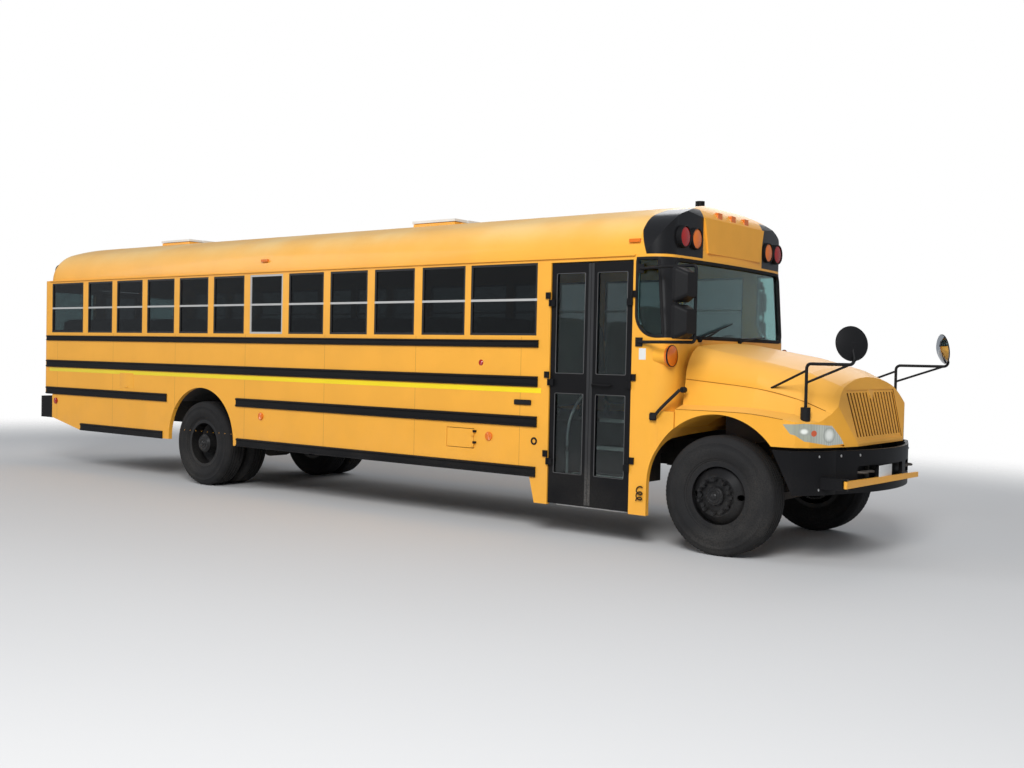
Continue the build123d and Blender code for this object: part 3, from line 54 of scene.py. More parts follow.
# Places that the pieces share, in metres: the front axle's row X, the rear axle measured from it, the body's
# half width and the height of the hubs
AXLE_X = 4.7825
REAR_AXLE = -7.0104
HALF = 1.219
HUB_Z = 0.515
ROOT = "chassis_and_body"
YELLOW: Colour = (0.92, 0.43, 0.045)
BLACK: Colour = (0.008, 0.008, 0.009)
DUST: Colour = (0.30, 0.27, 0.23)
SHARP_DEGREES = 38
MERGE = 1e-5


class Side(Enum):
    """A side of the bus, as the sign of Y."""

    RIGHT = -1.0
    LEFT = 1.0


# Mesh making


@dataclass
class Patch:
    """A mesh in numpy arrays: points (N, 3) and quads (M, 4)."""

    points: Array
    quads: Array

    def flipped(self) -> "Patch":
        """The patch mirrored to the other side of the bus, still facing outwards."""
        return Patch(self.points * np.array([1.0, -1.0, 1.0]), self.quads[:, ::-1])

    def moved(self, offset: Sequence[float]) -> "Patch":
        """The patch shifted by an offset."""
        return Patch(self.points + np.asarray(offset, float), self.quads)

    def turned(self, matrix: Array) -> "Patch":
        """The patch turned by a 3 x 3 rotation."""
        return Patch(self.points @ np.asarray(matrix, float).T, self.quads)

    def copies(self, places: Array) -> "Patch":
        """One patch of many copies.

        Args:
            places: offsets (K, 3), one for each copy.
        Returns:
            The points of the patch plus each offset, and the quads shifted by the points before them.
        """
        places = np.asarray(places, float).reshape(-1, 3)
        points = (places[:, None, :] + self.points[None, :, :]).reshape(-1, 3)
        shift = (np.arange(len(places)) * len(self.points))[:, None, None]
        quads = (self.quads[None, :, :] + shift).reshape(-1, 4)
        return Patch(points, quads)


def joined(patches: Sequence[Patch]) -> Patch:
    """Several patches as one.

    Args:
        patches: the patches, in any number.
    Returns:
        Their points in one array, with each patch's quads shifted by the points before it.
    """
    starts = np.cumsum([0] + [len(p.points) for p in patches[:-1]])
    quads = np.concatenate([p.quads + s for p, s in zip(patches, starts)])
    return Patch(np.concatenate([p.points for p in patches]), quads)


def both_sides(*patches: Patch) -> Patch:
    """Patches of the right side joined with their mirror images."""
    return joined([*patches, *[p.flipped() for p in patches]])


def grid(points: Array, wrap_u: bool = False, wrap_v: bool = False) -> Patch:
    """Quads between neighbours of a grid.

    Args:
        points: positions (U, V, 3), with outward faces where u x v points out.
        wrap_u: joins the last row to the first.
        wrap_v: joins the last column to the first.
    Returns:
        The patch, whose quad (i, j) joins rows i, i + 1 and columns j, j + 1.
    """
    rows, cols = points.shape[:2]
    index = np.arange(rows * cols).reshape(rows, cols)
    if wrap_u:
        index = np.vstack([index, index[:1]])
    if wrap_v:
        index = np.hstack([index, index[:, :1]])
    a, b, c, d = index[:-1, :-1], index[1:, :-1], index[1:, 1:], index[:-1, 1:]
    quads = np.stack([a, b, c, d], axis=-1).reshape(-1, 4)
    return Patch(points.reshape(-1, 3), quads)


def spun(profile: Array, centre: Sequence[float], axis: str = "Y", count: int = 64) -> Patch:
    """A closed ring profile turned about an axis.

    Args:
        profile: rows of (radius, place along the axis), closed when its last row is its first.
        centre: a point on the axis.
        axis: X, Y or Z.
        count: steps round the circle.
    Returns:
        The surface: point = centre + along * axis + radius * (cos a, sin a) in the plane across the axis.
    """
    angle = np.linspace(0, 2 * math.pi, count, endpoint=False)
    radius, along = np.asarray(profile, float).T
    rings = np.zeros((count, len(radius), 3))
    first, second, third = {"X": (1, 2, 0), "Y": (2, 0, 1), "Z": (0, 1, 2)}[axis]
    rings[:, :, first] = radius[None, :] * np.cos(angle)[:, None]
    rings[:, :, second] = radius[None, :] * np.sin(angle)[:, None]
    rings[:, :, third] = along[None, :]
    return grid(rings + np.asarray(centre, float), wrap_u=True)


def smooth_path(corners: Sequence[Sequence[float]], steps: int = 10) -> Array:
    """A smooth path through corners, by the Catmull-Rom rule.

    Args:
        corners: the corners (N, 3).
        steps: points for each span.
    Returns:
        The path's points: each span is a cubic whose ends lean along the line between its neighbours.
    """
    p = np.asarray(corners, float)
    p = np.vstack([2 * p[0] - p[1], p, 2 * p[-1] - p[-2]])
    t = np.linspace(0, 1, steps, endpoint=False)[None, :, None]
    a, b, c, d = (p[i : len(p) - 3 + i][:, None, :] for i in range(4))
    square, cube = (2 * a - 5 * b + 4 * c - d) * t**2, (3 * b - a - 3 * c + d) * t**3
    curve = 0.5 * (2 * b + (c - a) * t + square + cube)
    return np.vstack([curve.reshape(-1, 3), p[-2]])


def swept(path: Array, section: Array, up: Sequence[float] = (0, 0, 1), close: bool = False) -> Patch:
    """A closed section carried along a path.

    Args:
        path: points (N, 3).
        section: the section's outline (K, 2), as (sideways, upward), anticlockwise.
        up: the direction that stays nearest to upward.
        close: joins the path's end to its start.
    Returns:
        The surface: point = path + s * side + t * top, with side and top square to the path, and with
        open ends capped.
    """
    path = np.asarray(path, float)
    if close:
        tangent = np.roll(path, -1, axis=0) - np.roll(path, 1, axis=0)
    else:
        tangent = np.gradient(path, axis=0)
    tangent /= np.linalg.norm(tangent, axis=1, keepdims=True)
    side = np.cross(tangent, np.asarray(up, float))
    side /= np.linalg.norm(side, axis=1, keepdims=True) + 1e-12
    top = np.cross(side, tangent)
    s, t = np.asarray(section, float)[None, :, :1], np.asarray(section, float)[None, :, 1:]
    rings = path[:, None, :] + side[:, None, :] * s + top[:, None, :] * t
    if not close:
        first, last = rings[:1].mean(axis=1, keepdims=True), rings[-1:].mean(axis=1, keepdims=True)
        ends = np.ones((1, len(section), 1))
        rings = np.concatenate([first * ends, rings, last * ends])
    return grid(rings[:, ::-1], wrap_u=close, wrap_v=True)


def circle(radius: float, count: int = 12) -> Array:
    """A round section: (r cos a, r sin a)."""
    angle = np.linspace(0, 2 * math.pi, count, endpoint=False)
    return radius * np.stack([np.cos(angle), np.sin(angle)], axis=1)


def rounded_outline(width: float, height: float, radius: float, steps: int = 5) -> Array:
    """A rectangle with round corners about the origin.

    Args:
        width: its full width.
        height: its full height.
        radius: the radius of its corners.
        steps: points at each corner.
    Returns:
        Four quarter circles in turn (4 * steps, 2), anticlockwise.
    """
    angle = np.linspace(0, math.pi / 2, steps)
    corners = []
    for quarter, (sx, sy) in enumerate(((1, 1), (-1, 1), (-1, -1), (1, -1))):
        turn = angle + quarter * math.pi / 2
        centre = np.array([sx * (width / 2 - radius), sy * (height / 2 - radius)])
        corners.append(centre + radius * np.stack([np.cos(turn), np.sin(turn)], axis=1))
    return np.vstack(corners)


def puffed(size: Sequence[float], power: float = 5.0, pinch: float = 0.04, count: int = 40) -> Patch:
    """A pad: a superellipsoid whose sides pull in between its corners.

    Args:
        size: full sizes in X, Y and Z.
        power: how square it is; 2 is an ellipsoid.
        pinch: how far the middle of each side pulls in, as a share of the size.
        count: steps round the pad.
    Returns:
        The surface: each coordinate is half * sign(c) * |c|^(2 / power) of the sphere's, then drawn in at
        mid-side.
    """
    lat = np.linspace(-math.pi / 2, math.pi / 2, count // 2 + 1)
    lon = np.linspace(0, 2 * math.pi, count, endpoint=False)
    exponent = 2 / power

    def bent(value: Array) -> Array:
        """Keeps the sign and raises the size to the pad's exponent."""
        return np.sign(value) * np.abs(value) ** exponent

    x = bent(np.cos(lat))[:, None] * bent(np.cos(lon))[None, :]
    y = bent(np.cos(lat))[:, None] * bent(np.sin(lon))[None, :]
    z = bent(np.sin(lat))[:, None] * np.ones_like(lon)[None, :]
    outer_half = 0.5
    x *= 1 - pinch * (1 - y**2) * (np.abs(x) > outer_half)
    y *= 1 - pinch * (1 - x**2) * (np.abs(y) > outer_half)
    points = np.stack([x, y, z], axis=-1) * np.asarray(size, float) / 2
    return grid(points[::-1], wrap_v=True)


def slab(low: Sequence[float], high: Sequence[float], bevel: float = 0.004) -> Patch:
    """A box with chamfered edges and rounded corners.

    Args:
        low: its lowest corner.
        high: its highest corner.
        bevel: the chamfer, kept under 0.45 of its smallest size.
    Returns:
        Rounded sections stacked from low to high, drawn in by the chamfer at both ends and closed to a point.
    """
    low, high = np.asarray(low, float), np.asarray(high, float)
    size = high - low
    bevel = min(bevel, 0.45 * float(size.min()))
    full = rounded_outline(size[0], size[1], bevel, 3)
    drawn = rounded_outline(size[0] - 2 * bevel, size[1] - 2 * bevel, bevel, 3)
    point = np.zeros_like(full)
    outlines = (point, drawn, full, full, drawn, point)
    levels = (0.0, 0.0, bevel, size[2] - bevel, size[2], size[2])
    rings = [np.column_stack([flat, np.full(len(flat), level)]) for flat, level in zip(outlines, levels)]
    points = np.stack(rings) + np.array([*(low[:2] + high[:2]) / 2, low[2]])
    return grid(points[:, ::-1], wrap_v=True)


def dome(radius: float, height: float, normal: str, outward: float, count: int = 8) -> Patch:
    """A rivet or bolt head.

    Args:
        radius: its radius.
        height: how far it stands out.
        normal: X, Y or Z, the axis that it faces along.
        outward: 1 or -1, the way that it faces.
        count: steps round it.
    Returns:
        Rings of a flattened half ball about the origin, up to its pole.
    """
    angle = np.linspace(0, math.pi / 2, 4)
    profile = np.stack([radius * np.cos(angle), height * outward * np.sin(angle)], axis=1)
    profile = profile if outward > 0 else profile[::-1]
    return spun(profile, (0, 0, 0), normal, count)


@dataclass
class Piece:
    """One visible object: its name, shape, finish and the body that it rides on."""

    name: str
    shape: Patch
    finish: "Finish"
    body: str = ROOT
    replaces: Tuple[str, ...] = ()
    smooth: bool = True
    bevel: float = 0.0
    pad: float = -1.0

    def build(self) -> None:
        """Makes the object, dresses it and ties it to its body."""
        mesh = bpy.data.meshes.new(self.name)
        mesh.from_pydata(self.shape.points.tolist(), [], self.shape.quads.tolist())
        mesh.validate()
        mesh.polygons.foreach_set("use_smooth", np.full(len(mesh.polygons), self.smooth))
        obj = bpy.data.objects.new(self.name, mesh)
        bpy.context.scene.collection.objects.link(obj)
        close_up(mesh)
        if self.smooth:
            mesh.set_sharp_from_angle(angle=math.radians(SHARP_DEGREES))
        if self.bevel:
            edge = obj.modifiers.new("edge", "BEVEL")
            edge.width, edge.segments, edge.limit_method = self.bevel, 2, "ANGLE"
        obj.data.materials.append(self.finish.material())
        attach(obj, self.body)
        if self.replaces:
            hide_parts(*self.replaces)
        log.info("%s: %d faces", self.name, len(mesh.polygons))


def close_up(mesh: bpy.types.Mesh) -> None:
    """Merges points that coincide, such as poles and capped ends, and turns every shell's faces outwards.

    Args:
        mesh: the mesh, changed in place.
    """
    work = bmesh.new()
    work.from_mesh(mesh)
    bmesh.ops.remove_doubles(work, verts=work.verts, dist=MERGE)
    bmesh.ops.dissolve_degenerate(work, edges=work.edges, dist=MERGE / 10)
    bmesh.ops.recalc_face_normals(work, faces=work.faces)
    work.to_mesh(mesh)
    work.free()


# Finishes


class NodeTree:
    """A short way to place and join shader nodes in one tree."""

    def __init__(self, tree: bpy.types.NodeTree) -> None:
        """Keeps the tree that the nodes go into."""
        self.tree = tree

    def add(self, kind: str, **values: object) -> bpy.types.Node:
        """Adds one node.

        Args:
            kind: the node's type, without the ShaderNode prefix.
            values: its attributes; a name that starts with in_ sets the input of that number or name.
        Returns:
            The node.
        """
        node = self.tree.nodes.new("ShaderNode" + kind)
        for name, value in values.items():
            if name.startswith("in_"):
                key = name[3:].replace("_", " ")
                node.inputs[int(key) if key.isdigit() else key].default_value = value
            else:
                setattr(node, name, value)
        return node

    def link(self, source: Socket, target: Socket) -> None:
        """Joins two sockets."""
        self.tree.links.new(source, target)

    def axes(self, kind: str, output: str) -> Tuple[Socket, ...]:
        """A vector's parts.

        Args:
            kind: the type of the node that gives the vector.
            output: the name of its output.
        Returns:
            The vector's X, Y and Z as three values.
        """
        apart = self.add("SeparateXYZ")
        self.link(self.add(kind).outputs[output], apart.inputs[0])
        return tuple(apart.outputs)

    def object_axes(self) -> Tuple[Socket, ...]:
        """The object's own X, Y and Z at a point."""
        return self.axes("TexCoord", "Object")

    def normal_axes(self) -> Tuple[Socket, ...]:
        """The surface normal's X, Y and Z."""
        return self.axes("NewGeometry", "Normal")

    def ramp(self, source: Socket, low: float, high: float) -> Socket:
        """A smooth step of a value.

        Args:
            source: the value.
            low: where the step starts, at 0.
            high: where it ends, at 1.
        Returns:
            The step's output.
        """
        node = self.add("MapRange", interpolation_type="SMOOTHSTEP", in_1=low, in_2=high)
        self.link(source, node.inputs[0])
        return node.outputs[0]

    def maths(self, operation: str, a: object, b: object = None) -> Socket:
        """The result of one sum.

        Args:
            operation: the Math node's operation.
            a: the first socket or number.
            b: the second, where the operation takes two.
        Returns:
            The sum's output.
        """
        node = self.add("Math", operation=operation)
        for socket, value in zip(node.inputs, (a, b)):
            if isinstance(value, (int, float)):
                socket.default_value = value
            elif value is not None:
                self.link(value, socket)
        return node.outputs[0]

    def product(self, first: object, *others: object) -> Socket:
        """Several values multiplied together, in turn."""
        for other in others:
            first = self.maths("MULTIPLY", first, other)
        return first

    def without(self, value: Socket) -> Socket:
        """One less a value, which turns a mask over."""
        return self.maths("SUBTRACT", 1.0, value)

    def off(self, value: Socket, centre: float) -> Socket:
        """How far a value is from a centre: |value - centre|."""
        return self.maths("ABSOLUTE", self.maths("SUBTRACT", value, centre))

    def reach(self, a: Socket, b: Socket) -> Socket:
        """The distance that two sides make: sqrt(a^2 + b^2)."""
        return self.maths("SQRT", self.maths("ADD", self.product(a, a), self.product(b, b)))

    def mix(self, factor: object, first: object, second: object) -> Socket:
        """A blend of two colours.

        Args:
            factor: the second colour's share, as a socket or number.
            first: a socket or colour.
            second: a socket or colour.
        Returns:
            The blend's output.
        """
        node = self.add("Mix", data_type="RGBA")
        for index, value in ((0, factor), (6, first), (7, second)):
            if isinstance(value, (int, float)):
                node.inputs[index].default_value = value
            elif isinstance(value, tuple):
                node.inputs[index].default_value = (*value, 1.0)
            else:
                self.link(value, node.inputs[index])
        return node.outputs[2]

    def noise(self, place: Socket, scale: object, detail: float = 4.0) -> Socket:
        """A noise value at a place.

        Args:
            place: the place's vector.
            scale: the noise's scale, as a socket or number.
            detail: how many finer layers it has.
        Returns:
            The noise's value.
        """
        node = self.add("TexNoise", in_Detail=detail)
        self.link(place, node.inputs["Vector"])
        if isinstance(scale, (int, float)):
            node.inputs["Scale"].default_value = scale
        else:
            self.link(scale, node.inputs["Scale"])
        return node.outputs[0]


class Effect:
    """A shader node group that several finishes share, built once."""

    made: Dict[str, bpy.types.NodeTree] = {}

    def __init__(self, name: str, inputs: Dict[str, float], outputs: Sequence[str]) -> None:
        """Starts the group, or finds it.

        Args:
            name: the group's name.
            inputs: its number inputs and their usual values.
            outputs: the names of its outputs, all masks or heights.
        """
        self.fresh = name not in Effect.made
        if self.fresh:
            tree = bpy.data.node_groups.new(name, "ShaderNodeTree")
            for label, value in inputs.items():
                socket = tree.interface.new_socket(label, in_out="INPUT", socket_type="NodeSocketFloat")
                socket.default_value = value
            for label in outputs:
                tree.interface.new_socket(label, in_out="OUTPUT", socket_type="NodeSocketFloat")
            Effect.made[name] = tree
        self.tree = Effect.made[name]

    def opened(self) -> Tuple[NodeTree, bpy.types.Node, bpy.types.Node]:
        """The group's tree with new nodes for its inputs and its outputs."""
        nodes = self.tree.nodes
        return NodeTree(self.tree), nodes.new("NodeGroupInput"), nodes.new("NodeGroupOutput")

    def place(self, nodes: NodeTree, **values: float) -> bpy.types.Node:
        """Puts the group into a material.

        Args:
            nodes: the material's tree.
            values: the inputs' values, by name.
        Returns:
            The group's node.
        """
        node = nodes.add("Group", node_tree=self.tree)
        for label, value in values.items():
            node.inputs[label].default_value = value
        return node


def road_dust() -> Effect:
    """Dust that thickens downwards.

    Returns:
        The group, whose mask is a height ramp times broken noise, with finer specks on top.
    """
    effect = Effect("road_dust", {"Top": 1.2, "Amount": 0.4, "Scale": 3.0}, ["Mask"])
    if effect.fresh:
        nodes, entry, leave = effect.opened()
        height = nodes.add("MapRange", interpolation_type="SMOOTHSTEP", in_1=0.0, in_3=1.0, in_4=0.0)
        nodes.link(nodes.object_axes()[2], height.inputs[0])
        nodes.link(entry.outputs["Top"], height.inputs[2])
        place = nodes.add("TexCoord").outputs["Object"]
        cloud = nodes.ramp(nodes.noise(place, entry.outputs["Scale"], 6.0), 0.3, 0.75)
        specks = nodes.ramp(nodes.noise(place, 90.0, 2.0), 0.2, 0.7)
        everywhere = nodes.maths("ADD", height.outputs[0], 0.08)
        nodes.link(nodes.product(everywhere, cloud, specks, entry.outputs["Amount"]), leave.inputs["Mask"])
    return effect


def sun_fade() -> Effect:
    """Fading of faces that look at the sky.

    Returns:
        The group, whose mask is a ramp of the normal's height, broken by large soft noise.
    """
    effect = Effect("sun_fade", {"Amount": 0.5}, ["Mask"])
    if effect.fresh:
        nodes, entry, leave = effect.opened()
        place = nodes.add("TexCoord").outputs["Object"]
        soft = nodes.ramp(nodes.noise(place, 1.3), 0.25, 0.75)
        broken = nodes.maths("ADD", nodes.product(soft, 0.6), 0.4)
        upward = nodes.ramp(nodes.normal_axes()[2], 0.15, 0.95)
        nodes.link(nodes.product(upward, broken, entry.outputs["Amount"]), leave.inputs["Mask"])
    return effect


def fine_grain() -> Effect:
    """Grain and larger spots.

    Returns:
        The group: its height is two scales of noise added together, and its spots are a ramp of the larger.
    """
    effect = Effect("fine_grain", {"Scale": 200.0}, ["Height", "Spots"])
    if effect.fresh:
        nodes, entry, leave = effect.opened()
        place = nodes.add("TexCoord").outputs["Object"]
        fine = nodes.noise(place, entry.outputs["Scale"], 5.0)
        broad = nodes.noise(place, 2.2, 3.0)
        height = nodes.maths("ADD", nodes.product(fine, 0.7), nodes.product(broad, 0.3))
        nodes.link(height, leave.inputs["Height"])
        nodes.link(nodes.ramp(broad, 0.35, 0.68), leave.inputs["Spots"])
    return effect


@dataclass(frozen=True)
class Finish:
    """A surface finish with dust, fading and grain."""

    name: str
    colour: Colour
    roughness: float = 0.5
    metallic: float = 0.0
    coat: float = 0.0
    dust_top: float = 1.2
    dust: float = 0.3
    fade: float = 0.0
    faded: Colour = (0.5, 0.5, 0.5)
    grain: float = 200.0
    bump: float = 0.05
    mottle: float = 0.12
    gloss: float = 0.5
    slot: str = ""
    coat_roughness: float = 0.12
    rough_spread: Tuple[float, float] = (0.85, 1.2)

    def material(self) -> bpy.types.Material:
        """The finish as a material.

        Returns:
            The material, which is made at the first call.
        """
        label = f"{self.name}_surface"
        found = bpy.data.materials.get(label)
        if found:
            return found
        material = bpy.data.materials.new(label)
        material.use_nodes = True
        shader = material.node_tree.nodes["Principled BSDF"]
        shader.inputs["Metallic"].default_value = self.metallic
        shader.inputs["Coat Weight"].default_value = self.coat
        shader.inputs["Coat Roughness"].default_value = self.coat_roughness
        shader.inputs["Specular IOR Level"].default_value = self.gloss
        self.paint(NodeTree(material.node_tree), shader)
        return material

    def base(self, nodes: NodeTree) -> Socket:
        """The clean colour before fading and dust; a subclass may mask in a second colour.

        Args:
            nodes: the material's tree.
        Returns:
            The colour, darker in the grain's spots.
        """
        grain = fine_grain().place(nodes, Scale=self.grain)
        dark = tuple(c * (1 - self.mottle) for c in self.colour)
        return nodes.mix(grain.outputs["Spots"], self.colour, dark)

    def paint(self, nodes: NodeTree, shader: bpy.types.Node) -> None:
        """Joins the effects to the shader.

        Args:
            nodes: the material's tree.
            shader: its Principled node.
        """
        colour = self.base(nodes)
        if self.fade:
            colour = nodes.mix(sun_fade().place(nodes, Amount=self.fade).outputs[0], colour, self.faded)
        dust = road_dust().place(nodes, Top=self.dust_top, Amount=self.dust).outputs[0]
        nodes.link(nodes.mix(dust, colour, DUST), shader.inputs["Base Color"])
        grain = fine_grain().place(nodes, Scale=self.grain)
        low, high = (self.roughness * share for share in self.rough_spread)
        rough = nodes.add("MapRange", in_3=low, in_4=min(1.0, high))
        nodes.link(grain.outputs["Height"], rough.inputs[0])
        dull = nodes.maths("MAXIMUM", rough.outputs[0], nodes.product(dust, 0.9))
        nodes.link(dull, shader.inputs["Roughness"])
        if self.bump:
            bump = nodes.add("Bump", in_Strength=self.bump, in_Distance=0.002)
            nodes.link(grain.outputs["Height"], bump.inputs["Height"])
            nodes.link(bump.outputs[0], shader.inputs["Normal"])


@dataclass(frozen=True)
class CapFinish(Finish):
    """The front cap's two colours: black corners round the lamps, yellow over the top and behind."""

    second: Colour = YELLOW
    edge_x: float = AXLE_X - 0.705
    edge_from: float = 2.6
    edge_slope: float = 0.36
    top_z: float = 3.035
    panel_half: Tuple[float, float] = (0.60, 0.608)
    blur: float = 0.004

    def base(self, nodes: NodeTree) -> Socket:
        """Black where x is ahead of a slanted edge that climbs towards the middle.

        Args:
            nodes: the material's tree.
        Returns:
            The two colours, with yellow in the middle, above the top and behind the edge.
        """
        x, y, z = nodes.object_axes()
        climb = nodes.product(nodes.maths("SUBTRACT", z, self.edge_from), self.edge_slope)
        ahead = nodes.maths("SUBTRACT", nodes.maths("ADD", x, climb), self.edge_x)
        outer = nodes.ramp(ahead, -self.blur, self.blur)
        wide = nodes.ramp(nodes.maths("ABSOLUTE", y), *self.panel_half)
        below = nodes.ramp(nodes.maths("SUBTRACT", self.top_z, z), -self.blur, self.blur)
        return nodes.mix(nodes.product(outer, wide, below), self.second, self.colour)


@dataclass(frozen=True)
class CowlFinish(Finish):
    """The front of the body: yellow, with one black field round the windscreen and quarter windows."""

    second: Colour = BLACK
    rear_x: float = AXLE_X - 0.800
    low_z: float = 1.856
    top_z: float = 2.566
    corner: float = 0.215
    blur: float = 0.002

    def base(self, nodes: NodeTree) -> Socket:
        """Black inside a rounded field.

        Args:
            nodes: the material's tree.
        Returns:
            The two colours: black where the distance past the round lower rear corner is under its radius.
        """
        clean = super().base(nodes)
        x, _, z = nodes.object_axes()
        back = nodes.maths("MAXIMUM", nodes.maths("SUBTRACT", self.rear_x + self.corner, x), 0.0)
        down = nodes.maths("MAXIMUM", nodes.maths("SUBTRACT", self.low_z + self.corner, z), 0.0)
        past = nodes.maths("SUBTRACT", self.corner, nodes.reach(back, down))
        inside = nodes.ramp(past, -self.blur, self.blur)
        below = nodes.ramp(nodes.maths("SUBTRACT", self.top_z, z), -self.blur, self.blur)
        return nodes.mix(nodes.product(inside, below), clean, self.second)


@dataclass(frozen=True)
class HoodFinish(Finish):
    """Hood paint with painted shade on the walls between the grille's slats."""

    # The colour of the painted shade on the slats' side walls
    painted_shade: Colour = (0.16, 0.055, 0.008)
    half: float = 0.59
    front_x: float = AXLE_X + 0.80

    def base(self, nodes: NodeTree) -> Socket:
        """Painted shade where a face inside the grille's box looks sideways: the slats' side walls are
        darkened as if in shade.

        Args:
            nodes: the material's tree.
        Returns:
            The two colours: grime where |normal y| is large, |y| is under the half width and x is far
            forward.
        """
        clean = super().base(nodes)
        x, y, _ = nodes.object_axes()
        sideways = nodes.ramp(nodes.maths("ABSOLUTE", nodes.normal_axes()[1]), 0.75, 0.9)
        inside = nodes.maths("LESS_THAN", nodes.maths("ABSOLUTE", y), self.half)
        ahead = nodes.maths("GREATER_THAN", x, self.front_x)
        # Painted shade: the slats' side walls are darkened to stand in for the shade between them
        return nodes.mix(nodes.product(sideways, inside, ahead), clean, self.painted_shade)


@dataclass(frozen=True)
class FittingsFinish(Finish):
    """Black fittings, apart from the two turn lamp housings on the cowl, which are the body's yellow."""

    second: Colour = YELLOW
    lamp_x: float = AXLE_X - 0.56
    lamp_z: float = 1.697
    half_long: float = 0.14
    half_high: float = 0.10

    def base(self, nodes: NodeTree) -> Socket:
        """Yellow round each lamp housing.

        Args:
            nodes: the material's tree.
        Returns:
            The two colours: yellow inside a box given by its height and its place along the bus.
        """
        clean = super().base(nodes)
        x, _, z = nodes.object_axes()
        high = nodes.maths("LESS_THAN", nodes.off(z, self.lamp_z), self.half_high)
        near = nodes.maths("LESS_THAN", nodes.off(x, self.lamp_x), self.half_long)
        return nodes.mix(nodes.product(high, near), clean, self.second)


@dataclass(frozen=True)
class SideFinish(Finish):
    """Side panels with upright joints at a regular pitch below the windows."""

    pitch: float = 1.368
    first_x: float = AXLE_X - 9.59
    pitches_behind: int = 4
    line: Tuple[float, float] = (0.0012, 0.0030)
    line_colour: Colour = (0.25, 0.11, 0.02)
    line_amount: float = 0.7
    top_z: float = 1.855

    def base(self, nodes: NodeTree) -> Socket:
        """A thin dark line at each joint.

        Args:
            nodes: the material's tree.
        Returns:
            The two colours: dark where the place along the side, less whole pitches, is near half a pitch.
        """
        clean = super().base(nodes)
        x, _, z = nodes.object_axes()
        along = nodes.maths("SUBTRACT", x, self.first_x - self.pitches_behind * self.pitch)
        off = nodes.off(nodes.maths("MODULO", along, self.pitch), self.pitch / 2)
        line = nodes.without(nodes.ramp(off, *self.line))
        low = nodes.ramp(nodes.maths("SUBTRACT", self.top_z, z), 0.0, 0.002)
        return nodes.mix(nodes.product(line, low, self.line_amount), clean, self.line_colour)


@dataclass(frozen=True)
class SashFinish(Finish):
    """Dark window frames with a bright bar, and one emergency window with a bright frame."""

    bright: Colour = (0.46, 0.46, 0.45)
    bar_z: float = 2.205
    bar_half: Tuple[float, float] = (0.0112, 0.0122)
    window_x: float = AXLE_X - 5.8075
    window_half: Tuple[float, float] = (0.31, 0.32)

    def base(self, nodes: NodeTree) -> Socket:
        """Bright at the height of the bar, and over the length of the emergency window.

        Args:
            nodes: the material's tree.
        Returns:
            The two colours.
        """
        clean = super().base(nodes)
        x, _, z = nodes.object_axes()
        bar = nodes.without(nodes.ramp(nodes.off(z, self.bar_z), *self.bar_half))
        window = nodes.without(nodes.ramp(nodes.off(x, self.window_x), *self.window_half))
        return nodes.mix(nodes.maths("MAXIMUM", bar, window), clean, self.bright)


@dataclass(frozen=True)
class LampFinish(Finish):
    """Headlamps behind a clear cover: a painted reflection in each chrome bowl with a darker rim, fine facets
    and a small amber lamp.
    """

    # |y|, z and radius of each bowl and of the amber lamp
    bowls: Tuple[Place, ...] = ((0.895, 1.075, 0.060), (1.115, 1.105, 0.030))
    amber_at: Place = (1.045, 1.090, 0.027)
    # Colour of the painted reflection in each chrome bowl
    bowl: Colour = (0.86, 0.88, 0.82)
    rim: Colour = (0.34, 0.35, 0.32)
    amber: Colour = (0.62, 0.11, 0.04)
    outboard: Colour = (0.36, 0.38, 0.30)
    outboard_from: Tuple[float, float] = (0.92, 1.16)
    facet: Colour = (0.30, 0.32, 0.28)
    facet_rate: float = 260.0

    def base(self, nodes: NodeTree) -> Socket:
        """The lamp's parts, laid over each other.

        Args:
            nodes: the material's tree.
        Returns:
            The colours: each bowl's painted reflection is bright inside its radius and brightest near its
                centre, a
            bowl's rim is where the distance to its centre is near its radius, and amber is inside its own
            circle.
        """
        colour = super().base(nodes)
        _, y, z = nodes.object_axes()
        wide = nodes.maths("ABSOLUTE", y)

        def away(centre_y: float, centre_z: float) -> Socket:
            """Distance from a lamp's centre, seen from the front."""
            return nodes.reach(nodes.maths("SUBTRACT", wide, centre_y), nodes.maths("SUBTRACT", z, centre_z))

        colour = nodes.mix(nodes.ramp(wide, *self.outboard_from), colour, self.outboard)
        facets = nodes.maths("SINE", nodes.product(wide, self.facet_rate))
        colour = nodes.mix(nodes.ramp(facets, 0.2, 1.6), colour, self.facet)
        for centre_y, centre_z, radius in self.bowls:
            reach = away(centre_y, centre_z)
            # Painted reflection: each chrome bowl is painted bright towards its centre
            painted_reflection = nodes.without(nodes.ramp(reach, 0.3 * radius, radius))
            colour = nodes.mix(painted_reflection, colour, self.bowl)
            rim = nodes.without(nodes.ramp(nodes.off(reach, radius), 0.0, 0.012))
            colour = nodes.mix(nodes.product(rim, 0.6), colour, self.rim)
        centre_y, centre_z, radius = self.amber_at
        inside = nodes.without(nodes.ramp(away(centre_y, centre_z), radius - 0.004, radius))
        return nodes.mix(inside, colour, self.amber)


@dataclass(frozen=True)
class GlassFinish(Finish):
    """Clear or tinted glass."""

    see_through: float = 1.0
    refraction: float = 1.45
    film: float = 0.06

    def paint(self, nodes: NodeTree, shader: bpy.types.Node) -> None:
        """Sets the shader's own sockets, with a film of dust in its roughness.

        Args:
            nodes: the material's tree.
            shader: its Principled node.
        """
        shader.inputs["Base Color"].default_value = (*self.colour, 1.0)
        shader.inputs["Transmission Weight"].default_value = self.see_through
        shader.inputs["IOR"].default_value = self.refraction
        grain = fine_grain().place(nodes, Scale=self.grain)
        rough = nodes.add("MapRange", in_3=self.roughness, in_4=self.roughness + self.film)
        nodes.link(grain.outputs["Spots"], rough.inputs[0])
        nodes.link(rough.outputs[0], shader.inputs["Roughness"])


